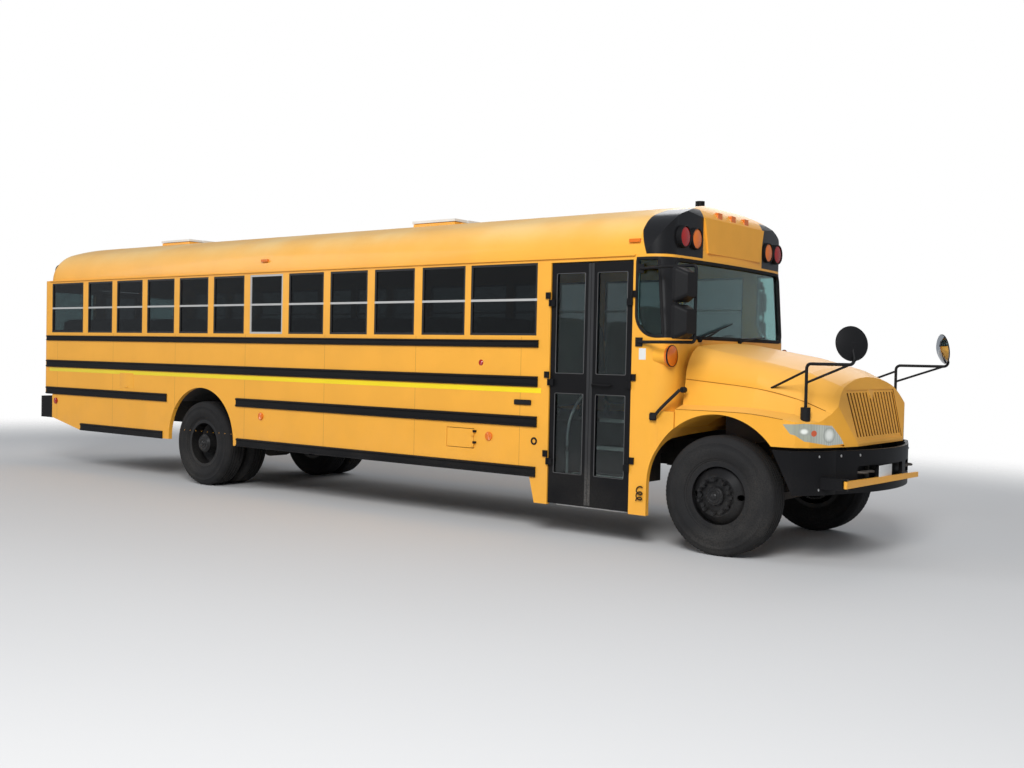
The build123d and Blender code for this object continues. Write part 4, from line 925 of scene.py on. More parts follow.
class Finishes:
    """Every finish on the bus."""

    body_paint = dict(colour=YELLOW, roughness=0.36, coat=0.2, dust_top=1.3, dust=0.12, grain=60, bump=0.02,
                      mottle=0.05, gloss=0.3, slot="bus_paint")
    satin_paint = dict(colour=BLACK, roughness=0.42, dust_top=1.0, dust=0.06, grain=120, bump=0.04,
                       gloss=0.12, slot="black_paint")
    lamp_plastic = dict(roughness=0.12, coat=0.5, dust=0.05, grain=40, bump=0.0, mottle=0.1)

    paint = Finish("body_yellow", **body_paint)
    cowl = CowlFinish("cowl_yellow", **body_paint)
    side = SideFinish("side_yellow", **body_paint)
    roof = Finish("roof_yellow", YELLOW, 0.42, coat=0.1, dust=0.0, fade=0.9, faded=(0.94, 0.65, 0.27),
                  grain=60, bump=0.02, mottle=0.06, gloss=0.3, slot="bus_paint")
    hood = HoodFinish("hood_yellow", YELLOW, 0.42, coat=0.05, dust_top=1.1, dust=0.08, fade=0.6,
                      faded=(0.90, 0.52, 0.15), grain=60, bump=0.02, mottle=0.06, gloss=0.25,
                      slot="bus_paint")
    seam = Finish("panel_seam", (0.36, 0.15, 0.018), 0.6, grain=200, bump=0.02, gloss=0.1, slot="bus_paint")
    strip = Finish("reflective_strip", (0.95, 0.72, 0.01), 0.3, coat=0.3, dust=0.03, grain=900, bump=0.05,
                   mottle=0.03, slot="bus_paint")
    cap = CapFinish("cap_black", BLACK, 0.3, coat=0.15, dust=0.0, grain=60, bump=0.02, gloss=0.3,
                    slot="black_paint")
    black = Finish("satin_black", **satin_paint)
    fittings = FittingsFinish("fittings_black", **satin_paint)
    sash = SashFinish("window_frames", (0.020, 0.020, 0.021), 0.45, grain=300, bump=0.03, dust=0.08,
                      gloss=0.25, slot="aluminium")
    trim = Finish("dark_trim", (0.16, 0.16, 0.16), 0.4, metallic=0.7, grain=300, bump=0.03, dust=0.1,
                  slot="aluminium")
    aluminium = Finish("mill_aluminium", (0.55, 0.55, 0.54), 0.38, metallic=0.9, dust=0.1, grain=300,
                       bump=0.03, slot="aluminium")
    mirror = Finish("mirror_face", (0.85, 0.87, 0.88), 0.03, metallic=1.0, dust=0.0, grain=5, bump=0.0,
                    mottle=0.02, slot="aluminium")
    white = Finish("white_paint", (0.75, 0.75, 0.73), 0.45, dust=0.1, grain=80, bump=0.03, slot="aluminium")
    chassis = Finish("chassis_black", (0.015, 0.014, 0.013), 0.7, dust_top=1.2, dust=0.35, grain=90,
                     bump=0.15, mottle=0.4, gloss=0.25, slot="frame_steel")
    cast = Finish("cast_metal", (0.09, 0.075, 0.065), 0.7, metallic=0.5, dust=0.5, grain=160, bump=0.25,
                  mottle=0.4, slot="cast")
    engine = Finish("engine_block", (0.12, 0.12, 0.125), 0.55, metallic=0.4, dust=0.3, grain=120, bump=0.2,
                    slot="engine_metal")
    floor = Finish("ribbed_floor", (0.030, 0.030, 0.031), 0.75, dust_top=2.0, dust=0.2, grain=250, bump=0.1,
                   slot="floor_rubber")
    vinyl = Finish("seat_vinyl", (0.028, 0.050, 0.036), 0.45, dust=0.0, grain=420, bump=0.22, mottle=0.15,
                   gloss=0.35, slot="seat_cover")
    plastic = Finish("black_plastic", (0.012, 0.012, 0.013), 0.5, dust=0.04, dust_top=1.9, grain=400,
                     bump=0.12, gloss=0.14, slot="plastic")
    rubber = Finish("black_rubber", (0.010, 0.010, 0.011), 0.7, dust=0.12, grain=260, bump=0.1, gloss=0.2,
                    slot="plastic")
    seal = Finish("door_seal", (0.030, 0.031, 0.033), 0.75, dust_top=1.6, dust=0.25, grain=150, bump=0.1,
                  gloss=0.3, slot="plastic")
    tyre = Finish("tyre_rubber", (0.019, 0.019, 0.020), 0.75, dust_top=1.4, dust=0.10, grain=120, bump=0.06,
                  mottle=0.2, gloss=0.14, slot="tyre")
    wheel = Finish("wheel_black", (0.009, 0.009, 0.010), 0.36, dust_top=0.9, dust=0.12, grain=150, bump=0.1,
                   mottle=0.3, gloss=0.35, slot="wheel_paint")
    headlamp = LampFinish("headlamp_face", (0.60, 0.63, 0.57), 0.12, coat=0.6, dust=0.05, grain=30, bump=0.0,
                          mottle=0.18, slot="lamp_lens")
    red = Finish("red_lamp_lens", (0.40, 0.008, 0.006), slot="red_lens", **lamp_plastic)
    amber = Finish("amber_lamp_lens", (0.80, 0.18, 0.010), slot="amber_lens", **lamp_plastic)
    tinted = GlassFinish("dark_window_glass", (0.07, 0.085, 0.09), 0.02, grain=12, gloss=0.35,
                         slot="tinted_glass")
    door_glass = GlassFinish("door_pane_glass", (0.45, 0.53, 0.53), 0.02, grain=12, gloss=0.12,
                             slot="tinted_glass")
    clear = GlassFinish("windscreen_glass", (0.38, 0.56, 0.55), 0.01, grain=12, gloss=0.15,
                        slot="clear_glass")


@dataclass
class NodeFinishes:
    """Gives every CAD node that stays in view its finish."""

    table: Dict[str, Sequence[str]] = field(default_factory=lambda: {
        "paint": ("rear_wall", "rear_door", "crossing_arm", "fuel_door"),
        "roof": ("roof",),
        "side": ("side_wall_right", "side_wall_left"),
        "cowl": ("front_cowl",),
        "hood": ("hood",),
        "white": ("hatch_front", "hatch_rear"),
        "sash": ("window_sashes",),
        "cap": ("front_cap",),
        "black": ("rub_rails", "door_leaf_rear", "door_leaf_front", "bumpers"),
        "fittings": ("body_fittings",),
        "chassis": ("frame", "floor_beams", "step_well", "leaf_springs", "tie_rod", "driveline",
                    "tank_and_battery_box", "seat_frames"),
        "cast": ("front_axle", "rear_axle", "knuckle_left", "knuckle_right", "exhaust"),
        "engine": ("engine",),
        "floor": ("floor",),
        "vinyl": ("seat_cushions", "seat_backs", "driver_seat"),
        "plastic": ("side_mirrors", "crossview_mirrors", "steering_wheel", "dashboard"),
        "tyre": ("tyre_front_left", "tyre_front_right", "tyres_rear_left", "tyres_rear_right"),
        "wheel": ("wheel_front_left", "wheel_front_right", "wheels_rear_left", "wheels_rear_right"),
        "tinted": ("window_glass", "rear_door_glass"),
        "door_glass": ("door_glass_rear", "door_glass_front"),
        "clear": ("body_glass",),
        "headlamp": ("headlamps",),
        "red": ("red_lamps", "stop_arm"),
        "amber": ("amber_lamps",),
    })

    def dress(self) -> None:
        """Puts each finish into its nodes' material slots."""
        for finish, nodes in self.table.items():
            for node in nodes:
                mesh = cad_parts[node].data
                mesh.materials.clear()
                mesh.materials.append(getattr(Finishes, finish).material())
        log.info("finishes on %d nodes", sum(len(n) for n in self.table.values()))


# Sub-assemblies

# The body's front face, in metres: how far it leans back and over what height, its bow and its corner arcs
LEAN = 0.055
LEAN_FROM = 1.84
LEAN_OVER = 0.75
BOW_X = -0.41
BOW_RADIUS = 12.75
CORNER_X = -0.66
CORNER_Y = 1.009
CORNER_RADIUS = 0.21


def row(x: float) -> float:
    """A place measured from the front axle, as a row X."""
    return x + AXLE_X


def row_place(place: Place) -> Place:
    """A place with X measured from the front axle, as a row place."""
    return (row(place[0]), place[1], place[2])


def resampled(path: Array, step: float) -> Array:
    """Evenly spaced points along a closed path, by its running length.

    Args:
        path: the path's corners (N, D), without its first point again at the end.
        step: the wished distance between points.
    Returns:
        At least eight points (M, D), each read off the running length at equal shares of the whole.
    """
    fewest = 8
    path = np.vstack([path, path[:1]])
    run = np.concatenate([[0.0], np.cumsum(np.linalg.norm(np.diff(path, axis=0), axis=1))])
    places = np.linspace(0, run[-1], max(fewest, int(run[-1] / step)), endpoint=False)
    return np.stack([np.interp(places, run, path[:, k]) for k in range(path.shape[1])], axis=1)


def lean_at(z: Array) -> Array:
    """How far the front leans back at a height: none up to LEAN_FROM, then evenly to LEAN over LEAN_OVER."""
    return LEAN * np.clip((np.asarray(z) - LEAN_FROM) / LEAN_OVER, 0, 1)


def front_x(y: Array, z: Array) -> Array:
    """The body's front face: a bow of one radius between two corner arcs, leaning back with height.

    Args:
        y: places across the bus.
        z: heights.
    Returns:
        Row X: the bow is BOW_X - R + sqrt(R^2 - y^2), and a corner is
        CORNER_X + sqrt(r^2 - (|y| - CORNER_Y)^2).
    """
    wide = np.abs(y)
    bow = BOW_X - BOW_RADIUS + np.sqrt(BOW_RADIUS**2 - np.minimum(wide, CORNER_Y) ** 2)
    corner = CORNER_X + np.sqrt(np.maximum(CORNER_RADIUS**2 - np.maximum(wide - CORNER_Y, 0) ** 2, 0))
    return row(0) + np.where(wide < CORNER_Y, bow, corner) - lean_at(z)


def side_y(x: Array, z: Array) -> Array:
    """Half width of the body's side near its front corner: CORNER_Y + sqrt(r^2 - (x - start)^2)."""
    start = row(CORNER_X) - lean_at(z)
    return CORNER_Y + np.sqrt(np.maximum(CORNER_RADIUS**2 - np.maximum(x - start, 0) ** 2, 0))


def bead(path: Array, width: float, height: float, up: Sequence[float], close: bool = True) -> Patch:
    """A rounded strip of one width and height along a path."""
    return swept(path, rounded_outline(width, height, 0.45 * min(width, height), 2), up, close)


def side_ring(span: Sequence[float], heights: Sequence[float], y: float, radius: float,
              strip: Sequence[float]) -> Patch:
    """A rounded rectangular trim on the right side.

    Args:
        span: its two ends, measured from the front axle.
        heights: its lower and upper height.
        y: its place across the bus.
        radius: the radius of its corners.
        strip: the strip's width and height.
    Returns:
        The strip, carried round the rectangle.
    """
    (x0, x1), (z0, z1) = span, heights
    flat = rounded_outline(x1 - x0, z1 - z0, radius, 4) + [(row(x0) + row(x1)) / 2, (z0 + z1) / 2]
    path = np.column_stack([flat[:, 0], np.full(len(flat), y), flat[:, 1]])
    return bead(path, *strip, (0, -1, 0))


def rear_ring(centre: Place, size: Sequence[float], radius: float, strip: Sequence[float]) -> Patch:
    """A rounded rectangular trim that faces the rear.

    Args:
        centre: its middle, with X measured from the front axle.
        size: its width and height.
        radius: the radius of its corners.
        strip: the strip's width and height.
    Returns:
        The strip, carried round the rectangle.
    """
    x, y, z = centre
    flat = rounded_outline(*size, radius, 4)
    path = np.column_stack([np.full(len(flat), row(x)), flat[:, 0] + y, flat[:, 1] + z])
    return bead(path, *strip, (-1, 0, 0))


def lens_disc(radius: float, bulge: float, outward: float, centre: Sequence[float], axis: str = "X") -> Patch:
    """A lamp lens of ring prisms.

    Args:
        radius: its radius.
        bulge: how far its middle stands out.
        outward: 1 or -1, the way that it faces along the axis.
        centre: the middle of its rim.
        axis: X, Y or Z.
    Returns:
        The surface: height = bulge * (1 - (r / radius)^2), plus a small step on every other ring.
    """
    rings, step, depth = 15, 0.0012, 0.003
    r = np.linspace(0, radius, rings)
    along = bulge * (1 - (r / radius) ** 2) + step * (np.arange(rings) % 2)
    back = [(radius, -depth * outward), (0, -depth * outward)]
    return spun(np.vstack([np.column_stack([r, along * outward]), back]), centre, axis, 32)


def ring(inner: float, outer: float, depth: float, proud: float, outward: float, centre: Sequence[float],
         axis: str = "X") -> Patch:
    """A ring with a rounded lip, such as a lamp's bezel.

    Args:
        inner: its inner radius.
        outer: its outer radius.
        depth: how far it reaches behind the centre.
        proud: how far it stands out ahead of the centre.
        outward: 1 or -1, the way that it faces along the axis.
        centre: a point on its axis.
        axis: X, Y or Z.
    Returns:
        The closed profile turned about the axis, with its lip drawn in by 0.3 of the ring's width.
    """
    lip = 0.3 * (outer - inner)
    profile = [(inner, -depth), (inner, proud - lip), (inner + lip, proud), (outer - lip, proud)]
    profile += [(outer, proud - lip), (outer, -depth), (inner, -depth)]
    return spun(np.array(profile) * [1, outward], centre, axis, 36)


def rounded_cap(radius: float, height: float, axis: str, outward: float, centre: Sequence[float]) -> Patch:
    """One larger rounded cap at a centre."""
    return dome(radius, height, axis, outward, 24).moved(centre)


def leaning(low: Sequence[float], high: Sequence[float], half: float, thick: float,
            half_top: float) -> Patch:
    """A leaning plate, symmetric about the middle plane.

    Args:
        low: (x, z) of its lower front edge, with X measured from the front axle.
        high: (x, z) of its upper front edge, measured the same way.
        half: half its width at the lower edge.
        thick: its thickness, measured backwards along X.
        half_top: half its width at the upper edge.
    Returns:
        The front and back faces, their edges and the two ends.
    """
    x0, z0, x1, z1 = row(low[0]), low[1], row(high[0]), high[1]
    front = np.array([[(x0, -half, z0), (x0, half, z0)], [(x1, -half_top, z1), (x1, half_top, z1)]])
    back = front - [thick, 0, 0]
    rows = np.stack([back[0], front[0], front[1], back[1]])
    ends = [grid(np.stack([rows[[0, 1], side], rows[[3, 2], side]])) for side in (0, 1)]
    return joined([grid(np.concatenate([rows, rows[:1]])), *ends])


@dataclass
class Tyres:
    """Six tyres with ribbed treads, notched shoulders and moulded side walls."""

    radius: float = 0.515
    groove_depth: float = 0.012
    groove_half: float = 0.005
    groove_lip: float = 0.001
    grooves: Tuple[float, ...] = (-0.058, -0.02, 0.02, 0.058)
    notch: float = 0.003
    notch_band: Tuple[float, float] = (0.066, 0.112)
    notch_above: float = 0.49
    steps: int = 168
    front_y: float = 1.010
    rear_ys: Tuple[float, float] = (1.050, 0.710)
    # Radius and half width from the bead, over the wall's rings, to the shoulder
    wall: Tuple[Tuple[float, float], ...] = (
        (0.2868, 0.1035), (0.2875, 0.106), (0.301, 0.1065), (0.304, 0.112), (0.318, 0.1165), (0.32, 0.1215),
        (0.345, 0.1300), (0.37, 0.1365), (0.398, 0.1393), (0.401, 0.1375), (0.44, 0.1370), (0.443, 0.1383),
        (0.452, 0.1375), (0.455, 0.1345), (0.475, 0.1305), (0.488, 0.124), (0.500, 0.1165), (0.508, 0.108),
        (0.5132, 0.099), (0.5148, 0.088),
    )

    def profile(self) -> Array:
        """The closed ring profile: side wall, tread with its grooves, and the other side wall.

        Returns:
            Rows of (radius, place across the tyre), whose last row is its first.
        """
        tread, floor = [], self.radius - self.groove_depth
        for place in self.grooves:
            low, high = place - self.groove_half, place + self.groove_half
            tread += [(self.radius, low - self.groove_lip), (floor, low)]
            tread += [(floor, high), (self.radius, high + self.groove_lip)]
        wall, mirrored = np.array(self.wall), np.array(self.wall) * [1, -1]
        return np.vstack([mirrored, np.array(tread), wall[::-1], mirrored[:1]])

    def shape(self, y: float) -> Patch:
        """One tyre about the axle.

        Args:
            y: its middle across the bus.
        Returns:
            The profile turned about Y, with radius less the notch on every other step of its shoulders.
        """
        profile = self.profile()
        patch = spun(profile, (0, 0, 0), "Y", self.steps)
        points = patch.points.reshape(self.steps, len(profile), 3)
        along = np.abs(points[:, :, 1])
        radial = np.hypot(points[:, :, 0], points[:, :, 2])
        shoulder = (along > self.notch_band[0]) & (along < self.notch_band[1]) & (radial > self.notch_above)
        open_step = (np.arange(self.steps) % 2 == 1)[:, None]
        shrink = np.where(shoulder & open_step, 1 - self.notch / radial, 1.0)
        points[:, :, [0, 2]] *= shrink[:, :, None]
        return Patch(points.reshape(-1, 3), patch.quads).moved((0, y, 0))

    def build(self) -> None:
        """Builds the tyres on their wheels."""
        for side in Side:
            name, out = side.name.lower(), side.value
            front = self.shape(out * self.front_y).moved((row(0), 0, HUB_Z))
            Piece(f"tread_front_{name}", front, Finishes.tyre, f"wheel_front_{name}",
                  (f"tyre_front_{name}",)).build()
            pair = joined([self.shape(out * y) for y in self.rear_ys]).moved((row(REAR_AXLE), 0, HUB_Z))
            Piece(f"tread_rear_{name}", pair, Finishes.tyre, f"wheels_rear_{name}",
                  (f"tyres_rear_{name}",)).build()


@dataclass
class WheelTrim:
    """Raised rings, bolts and caps on the hubs, and the front wheels' stud caps."""

    hub_ring: Tuple[float, float] = (0.045, 0.058)
    hub_cap: Tuple[float, float] = (0.030, 0.014)
    bolt: Tuple[float, float] = (0.008, 0.006)
    bolt_circle: float = 0.070
    front_hub_y: float = 1.190
    rear_hub_y: float = 1.175
    front_bolts: int = 8
    rear_bolts: int = 4
    studs: int = 10
    stud_circle: float = 0.1429
    stud_y: float = 1.172
    # Radius and height of a stud with its nut
    stud: Tuple[Tuple[float, float], ...] = (
        (0.0, 0.0), (0.021, 0.0), (0.021, 0.022), (0.016, 0.030), (0.012, 0.030), (0.012, 0.040),
        (0.0, 0.042))

    @staticmethod
    def around(radius: float, count: int, start: float = 0.0) -> Array:
        """Places (K, 3) at equal turns round a circle that faces along Y.

        Args:
            radius: the circle's radius.
            count: how many places.
            start: the first place's turn in degrees.
        Returns:
            The places: (r cos a, 0, r sin a).
        """
        turn = np.radians(np.arange(count) * 360 / count + start)
        return np.column_stack([radius * np.cos(turn), 0 * turn, radius * np.sin(turn)])

    def hub(self, x: float, y: float, out: float, bolts: int) -> Patch:
        """A hub's ring, cap and bolts.

        Args:
            x: the axle, measured from the front axle.
            y: the hub's face, as a distance from the middle plane.
            out: 1 or -1, the side of the bus.
            bolts: how many bolts stand round it.
        Returns:
            All of them as one patch.
        """
        centre = (row(x), out * y, HUB_Z)
        rim = ring(*self.hub_ring, 0.004, 0.006, out, centre, "Y")
        heads = dome(*self.bolt, "Y", out).copies(self.around(self.bolt_circle, bolts) + centre)
        return joined([rim, rounded_cap(*self.hub_cap, "Y", out, centre), heads])

    def build(self) -> None:
        """Builds the trim of each wheel on its own body."""
        half_turn = 180 / self.studs
        for side in Side:
            name, out = side.name.lower(), side.value
            at = self.around(self.stud_circle, self.studs, half_turn) + [row(0), out * self.stud_y, HUB_Z]
            studs = spun(np.array(self.stud) * [1, out], (0, 0, 0), "Y", 12).copies(at)
            front = joined([self.hub(0.0, self.front_hub_y, out, self.front_bolts), studs])
            Piece(f"wheel_trim_front_{name}", front, Finishes.wheel, f"wheel_front_{name}").build()
            rear = self.hub(REAR_AXLE, self.rear_hub_y, out, self.rear_bolts)
            Piece(f"wheel_trim_rear_{name}", rear, Finishes.wheel, f"wheels_rear_{name}").build()


@dataclass
class Benches:
    """Padded benches, barriers and the driver's seat, with welts along their edges."""

    rows: int = 12
    first_x: float = -10.25
    pitch: float = 0.684
    middle_y: float = 0.6625
    wide: float = 0.97
    welt: float = 0.008
    seat_at: Tuple[float, float] = (0.295, 1.4525)
    back_at: Tuple[float, float] = (0.0275, 1.7275)
    seat_deep: float = 0.40
    seat_high: float = 0.122
    back_thick: float = 0.085
    back_high: float = 0.662
    back_lean: float = 0.0676
    barrier_x: float = -2.02
    barrier_z: float = 1.62
    barrier_thick: float = 0.046
    barrier_high: float = 0.88
    driver_seat: Place = (0.48, 0.48, 0.105)
    driver_seat_at: Place = (-1.42, 0.62, 1.5125)
    # Thickness, width, height and lean in radians
    driver_back: Tuple[float, float, float, float] = (0.105, 0.46, 0.72, 0.082)
    driver_back_at: Place = (-1.72, 0.62, 1.865)
    fill: float = 0.8

    @staticmethod
    def tilted(patch: Patch, angle: float) -> Patch:
        """A patch leaned back about Y: x' = x cos a - z sin a, z' = x sin a + z cos a."""
        c, s = math.cos(angle), math.sin(angle)
        return patch.turned([[c, 0, -s], [0, 1, 0], [s, 0, c]])

    def cushion(self, deep: float, wide: float, high: float) -> Patch:
        """A crowned seat pad with a welt round its middle.

        Args:
            deep: its size along X.
            wide: its size along Y.
            high: its size along Z.
        Returns:
            The pad about the origin.
        """
        loop = rounded_outline(deep * 0.965, wide * 0.985, 0.05, 4)
        path = np.column_stack([loop, np.zeros(len(loop))])
        pad = puffed((deep, wide, high), 6.0, 0.03, 36)
        return joined([pad, bead(path, self.welt, self.welt, (0, 0, 1))])

    def back(self, thick: float, wide: float, high: float, angle: float) -> Patch:
        """A crowned back pad, leaned back, with a welt round its middle.

        Args:
            thick: its size along X before it leans.
            wide: its size along Y.
            high: its size along Z before it leans.
            angle: the lean in radians.
        Returns:
            The pad about the origin.
        """
        loop = rounded_outline(wide * 0.985, high * 0.975, 0.05, 4)
        path = np.column_stack([np.zeros(len(loop)), loop])
        pad = puffed((thick, wide, high), 7.0, 0.02, 36)
        return self.tilted(joined([pad, bead(path, self.welt, self.welt, (1, 0, 0))]), angle)

    def places(self, offset: Tuple[float, float]) -> Array:
        """Where one pad of each right bench stands.

        Args:
            offset: its X from the bench's foot, and its height.
        Returns:
            The places (K, 3), one pitch after another from the rear.
        """
        xs = row(self.first_x) + self.pitch * np.arange(self.rows)
        across, height = np.full(self.rows, -self.middle_y), np.full(self.rows, offset[1])
        return np.column_stack([xs + offset[0], across, height])

    def build(self) -> None:
        """Builds all pads in the space of their CAD blocks."""
        seats = self.cushion(self.seat_deep, self.wide, self.seat_high).copies(self.places(self.seat_at))
        backs = self.back(self.back_thick, self.wide, self.back_high, self.back_lean)
        backs = backs.copies(self.places(self.back_at))
        barrier = self.back(self.barrier_thick, self.wide, self.barrier_high, 0.0)
        barrier = barrier.moved((row(self.barrier_x), -self.middle_y, self.barrier_z))
        driver = joined([self.cushion(*self.driver_seat).moved(row_place(self.driver_seat_at)),
                         self.back(*self.driver_back).moved(row_place(self.driver_back_at))])
        for name, shape, node in (("bench_cushions", both_sides(seats), "seat_cushions"),
                                  ("bench_backs", both_sides(backs, barrier), "seat_backs"),
                                  ("driver_pads", driver, "driver_seat")):
            Piece(name, shape, Finishes.vinyl, replaces=(node,), pad=self.fill).build()


@dataclass
class Glazing:
    """Rubber seals round the windscreen, the quarter windows and the rear panes."""

    screen_size: Tuple[float, float] = (2.092, 0.685)
    screen_radius: float = 0.066
    screen_z: float = 2.2085
    quarter_bend: Tuple[float, float] = (-0.591, 2.066)
    quarter_radius: float = 0.200
    quarter_corners: Tuple[Tuple[float, float], ...] = ((-0.539, 1.866), (-0.594, 2.551), (-0.791, 2.551))
    proud: float = 0.001
    rear_pane: Place = (-10.662, 0.745, 2.175)
    rear_pane_size: Tuple[float, float] = (0.64, 0.56)
    door_x: float = -10.657
    door_wide: float = 0.516
    # Middle height and size of the rear door's lower and upper pane
    door_panes: Tuple[Tuple[float, float], ...] = ((1.395, 0.342), (2.16, 0.532))

    def screen(self) -> Patch:
        """The windscreen's seal.

        Returns:
            A strip round a rounded rectangle in Y and Z, whose X is the front face's.
        """
        outline = rounded_outline(*self.screen_size, self.screen_radius, 6) + [0, self.screen_z]
        loop = resampled(outline, 0.04)
        path = np.column_stack([front_x(loop[:, 0], loop[:, 1]) + self.proud, loop])
        return bead(path, 0.034, 0.012, (1, 0, 0.07))

    def quarter(self) -> Patch:
        """The right quarter window's seal.

        Returns:
            A strip round a quarter circle at the lower rear corner and three corners, whose Y is the side's.
        """
        turn = np.linspace(math.pi, 1.5 * math.pi, 12)
        bend = self.quarter_radius * np.column_stack([np.cos(turn), np.sin(turn)]) + self.quarter_bend
        view = resampled(np.vstack([bend, self.quarter_corners]), 0.03)
        x = row(view[:, 0])
        path = np.column_stack([x, -side_y(x, view[:, 1]) - self.proud, view[:, 1]])
        return bead(path, 0.026, 0.010, (0.35, -1, 0))

    def build(self) -> None:
        """Builds the seals on the body, and those of the rear door on the door."""
        pane = rear_ring(self.rear_pane, self.rear_pane_size, 0.03, (0.030, 0.010))
        seals = joined([self.screen(), both_sides(self.quarter(), pane)])
        Piece("window_seals", seals, Finishes.rubber).build()
        door = [rear_ring((self.door_x, 0, z), (self.door_wide, high), 0.02, (0.026, 0.010))
                for z, high in self.door_panes]
        Piece("rear_door_seals", joined(door), Finishes.rubber, "rear_door").build()


@dataclass
class Wipers:
    """Two wipers at rest on the windscreen."""

    # Y and Z of each blade's two ends
    blades: Tuple[Tuple[float, float, float, float], ...] = (
        (-0.70, 1.875, -0.12, 2.01), (0.05, 1.875, 0.62, 1.90))
    foot_aside: float = 0.32
    foot_z: float = 1.848

    def wiper(self, y0: float, z0: float, y1: float, z1: float) -> Patch:
        """One wiper just in front of the glass.

        Args:
            y0: Y of the blade's first end.
            z0: Z of the blade's first end.
            y1: Y of the blade's second end.
            z1: Z of the blade's second end.
        Returns:
            The blade, the arm, which bows out between its ends, and the pivot.
        """
        t = np.linspace(0, 1, 9)
        y, z = y0 + (y1 - y0) * t, z0 + (z1 - z0) * t
        blade = bead(np.column_stack([front_x(y, z) + 0.006, y, z]), 0.012, 0.02, (1, 0, 0), close=False)
        foot_y = (y0 + y1) / 2 - self.foot_aside
        y = foot_y + ((y0 + y1) / 2 - foot_y) * t
        z = self.foot_z + ((z0 + z1) / 2 - self.foot_z) * t
        lift = 0.024 + 0.010 * np.sin(math.pi * t)
        arm = bead(np.column_stack([front_x(y, z) + lift, y, z]), 0.016, 0.008, (1, 0, 0), close=False)
        foot = (float(front_x(foot_y, self.foot_z)) + 0.005, foot_y, self.foot_z)
        return joined([blade, arm, ring(0.004, 0.022, 0.01, 0.022, 1.0, foot)])

    def build(self) -> None:
        """Builds both wipers as one piece."""
        Piece("wipers", joined([self.wiper(*blade) for blade in self.blades]), Finishes.black).build()


class Lens(Enum):
    """The colour of a lamp's lens."""

    RED = "red"
    AMBER = "amber"


@dataclass
class LampFaces:
    """Lenses and black bezels of the warning, cowl, tail and side lamps, given for the right side."""

    warning: Tuple[Tuple[float, Lens], ...] = ((0.947, Lens.RED), (0.736, Lens.AMBER))
    warning_ends: Tuple[Tuple[float, float], ...] = ((-0.47, 1.0), (-10.655, -1.0))
    warning_z: float = 2.755
    warning_radius: float = 0.086
    cowl_at: Place = (-0.454, -1.15, 1.697)
    cowl_radius: float = 0.088
    tail_x: float = -10.691
    tail_y: float = -1.0
    tails: Tuple[Tuple[Lens, float, float], ...] = (
        (Lens.RED, 1.72, 0.09), (Lens.AMBER, 1.48, 0.07), (Lens.RED, 1.29, 0.055))
    markers: Tuple[Tuple[float, float, Lens], ...] = (
        (-10.30, 0.908, Lens.RED), (-5.865, 0.906, Lens.AMBER), (-2.44, 0.882, Lens.AMBER))
    marker_radius: float = 0.038
    roof_lamp: Tuple[Place, Place] = ((-0.566, -0.307, 3.006), (-0.490, -0.235, 3.034))

    def build(self) -> None:
        """Builds red and amber lenses, and one piece of bezels."""
        lenses: Dict[Lens, List[Patch]] = {Lens.RED: [], Lens.AMBER: []}
        rims = []
        for y, lens in self.warning:
            for x, out in self.warning_ends:
                at = (row(x) + out * 0.001, -y, self.warning_z)
                lenses[lens].append(lens_disc(self.warning_radius, 0.012, out, at))
                rims.append(ring(self.warning_radius + 0.0025, 0.100, 0.05, 0.010, out, at))
        lenses[Lens.AMBER].append(lens_disc(self.cowl_radius, 0.010, 1.0, row_place(self.cowl_at)))
        x, y, z = row_place(self.cowl_at)
        rims.append(ring(0.090, 0.096, 0.012, 0.002, 1.0, (x - 0.002, y, z)))
        for lens, z, radius in self.tails:
            at = (row(self.tail_x), self.tail_y, z)
            lenses[lens].append(lens_disc(radius * 0.96, 0.008, -1.0, at))
            rims.append(ring(radius, radius + 0.010, 0.03, 0.002, -1.0, at))
        for x, z, lens in self.markers:
            at = (row(x), -HALF - 0.0125, z)
            lenses[lens].append(lens_disc(self.marker_radius, 0.004, -1.0, at, "Y"))
        lenses[Lens.AMBER].append(slab(*map(row_place, self.roof_lamp), 0.01))
        Piece("red_lenses", both_sides(*lenses[Lens.RED]), Finishes.red).build()
        Piece("amber_lenses", both_sides(*lenses[Lens.AMBER]), Finishes.amber).build()
        Piece("lamp_bezels", both_sides(*rims), Finishes.plastic).build()


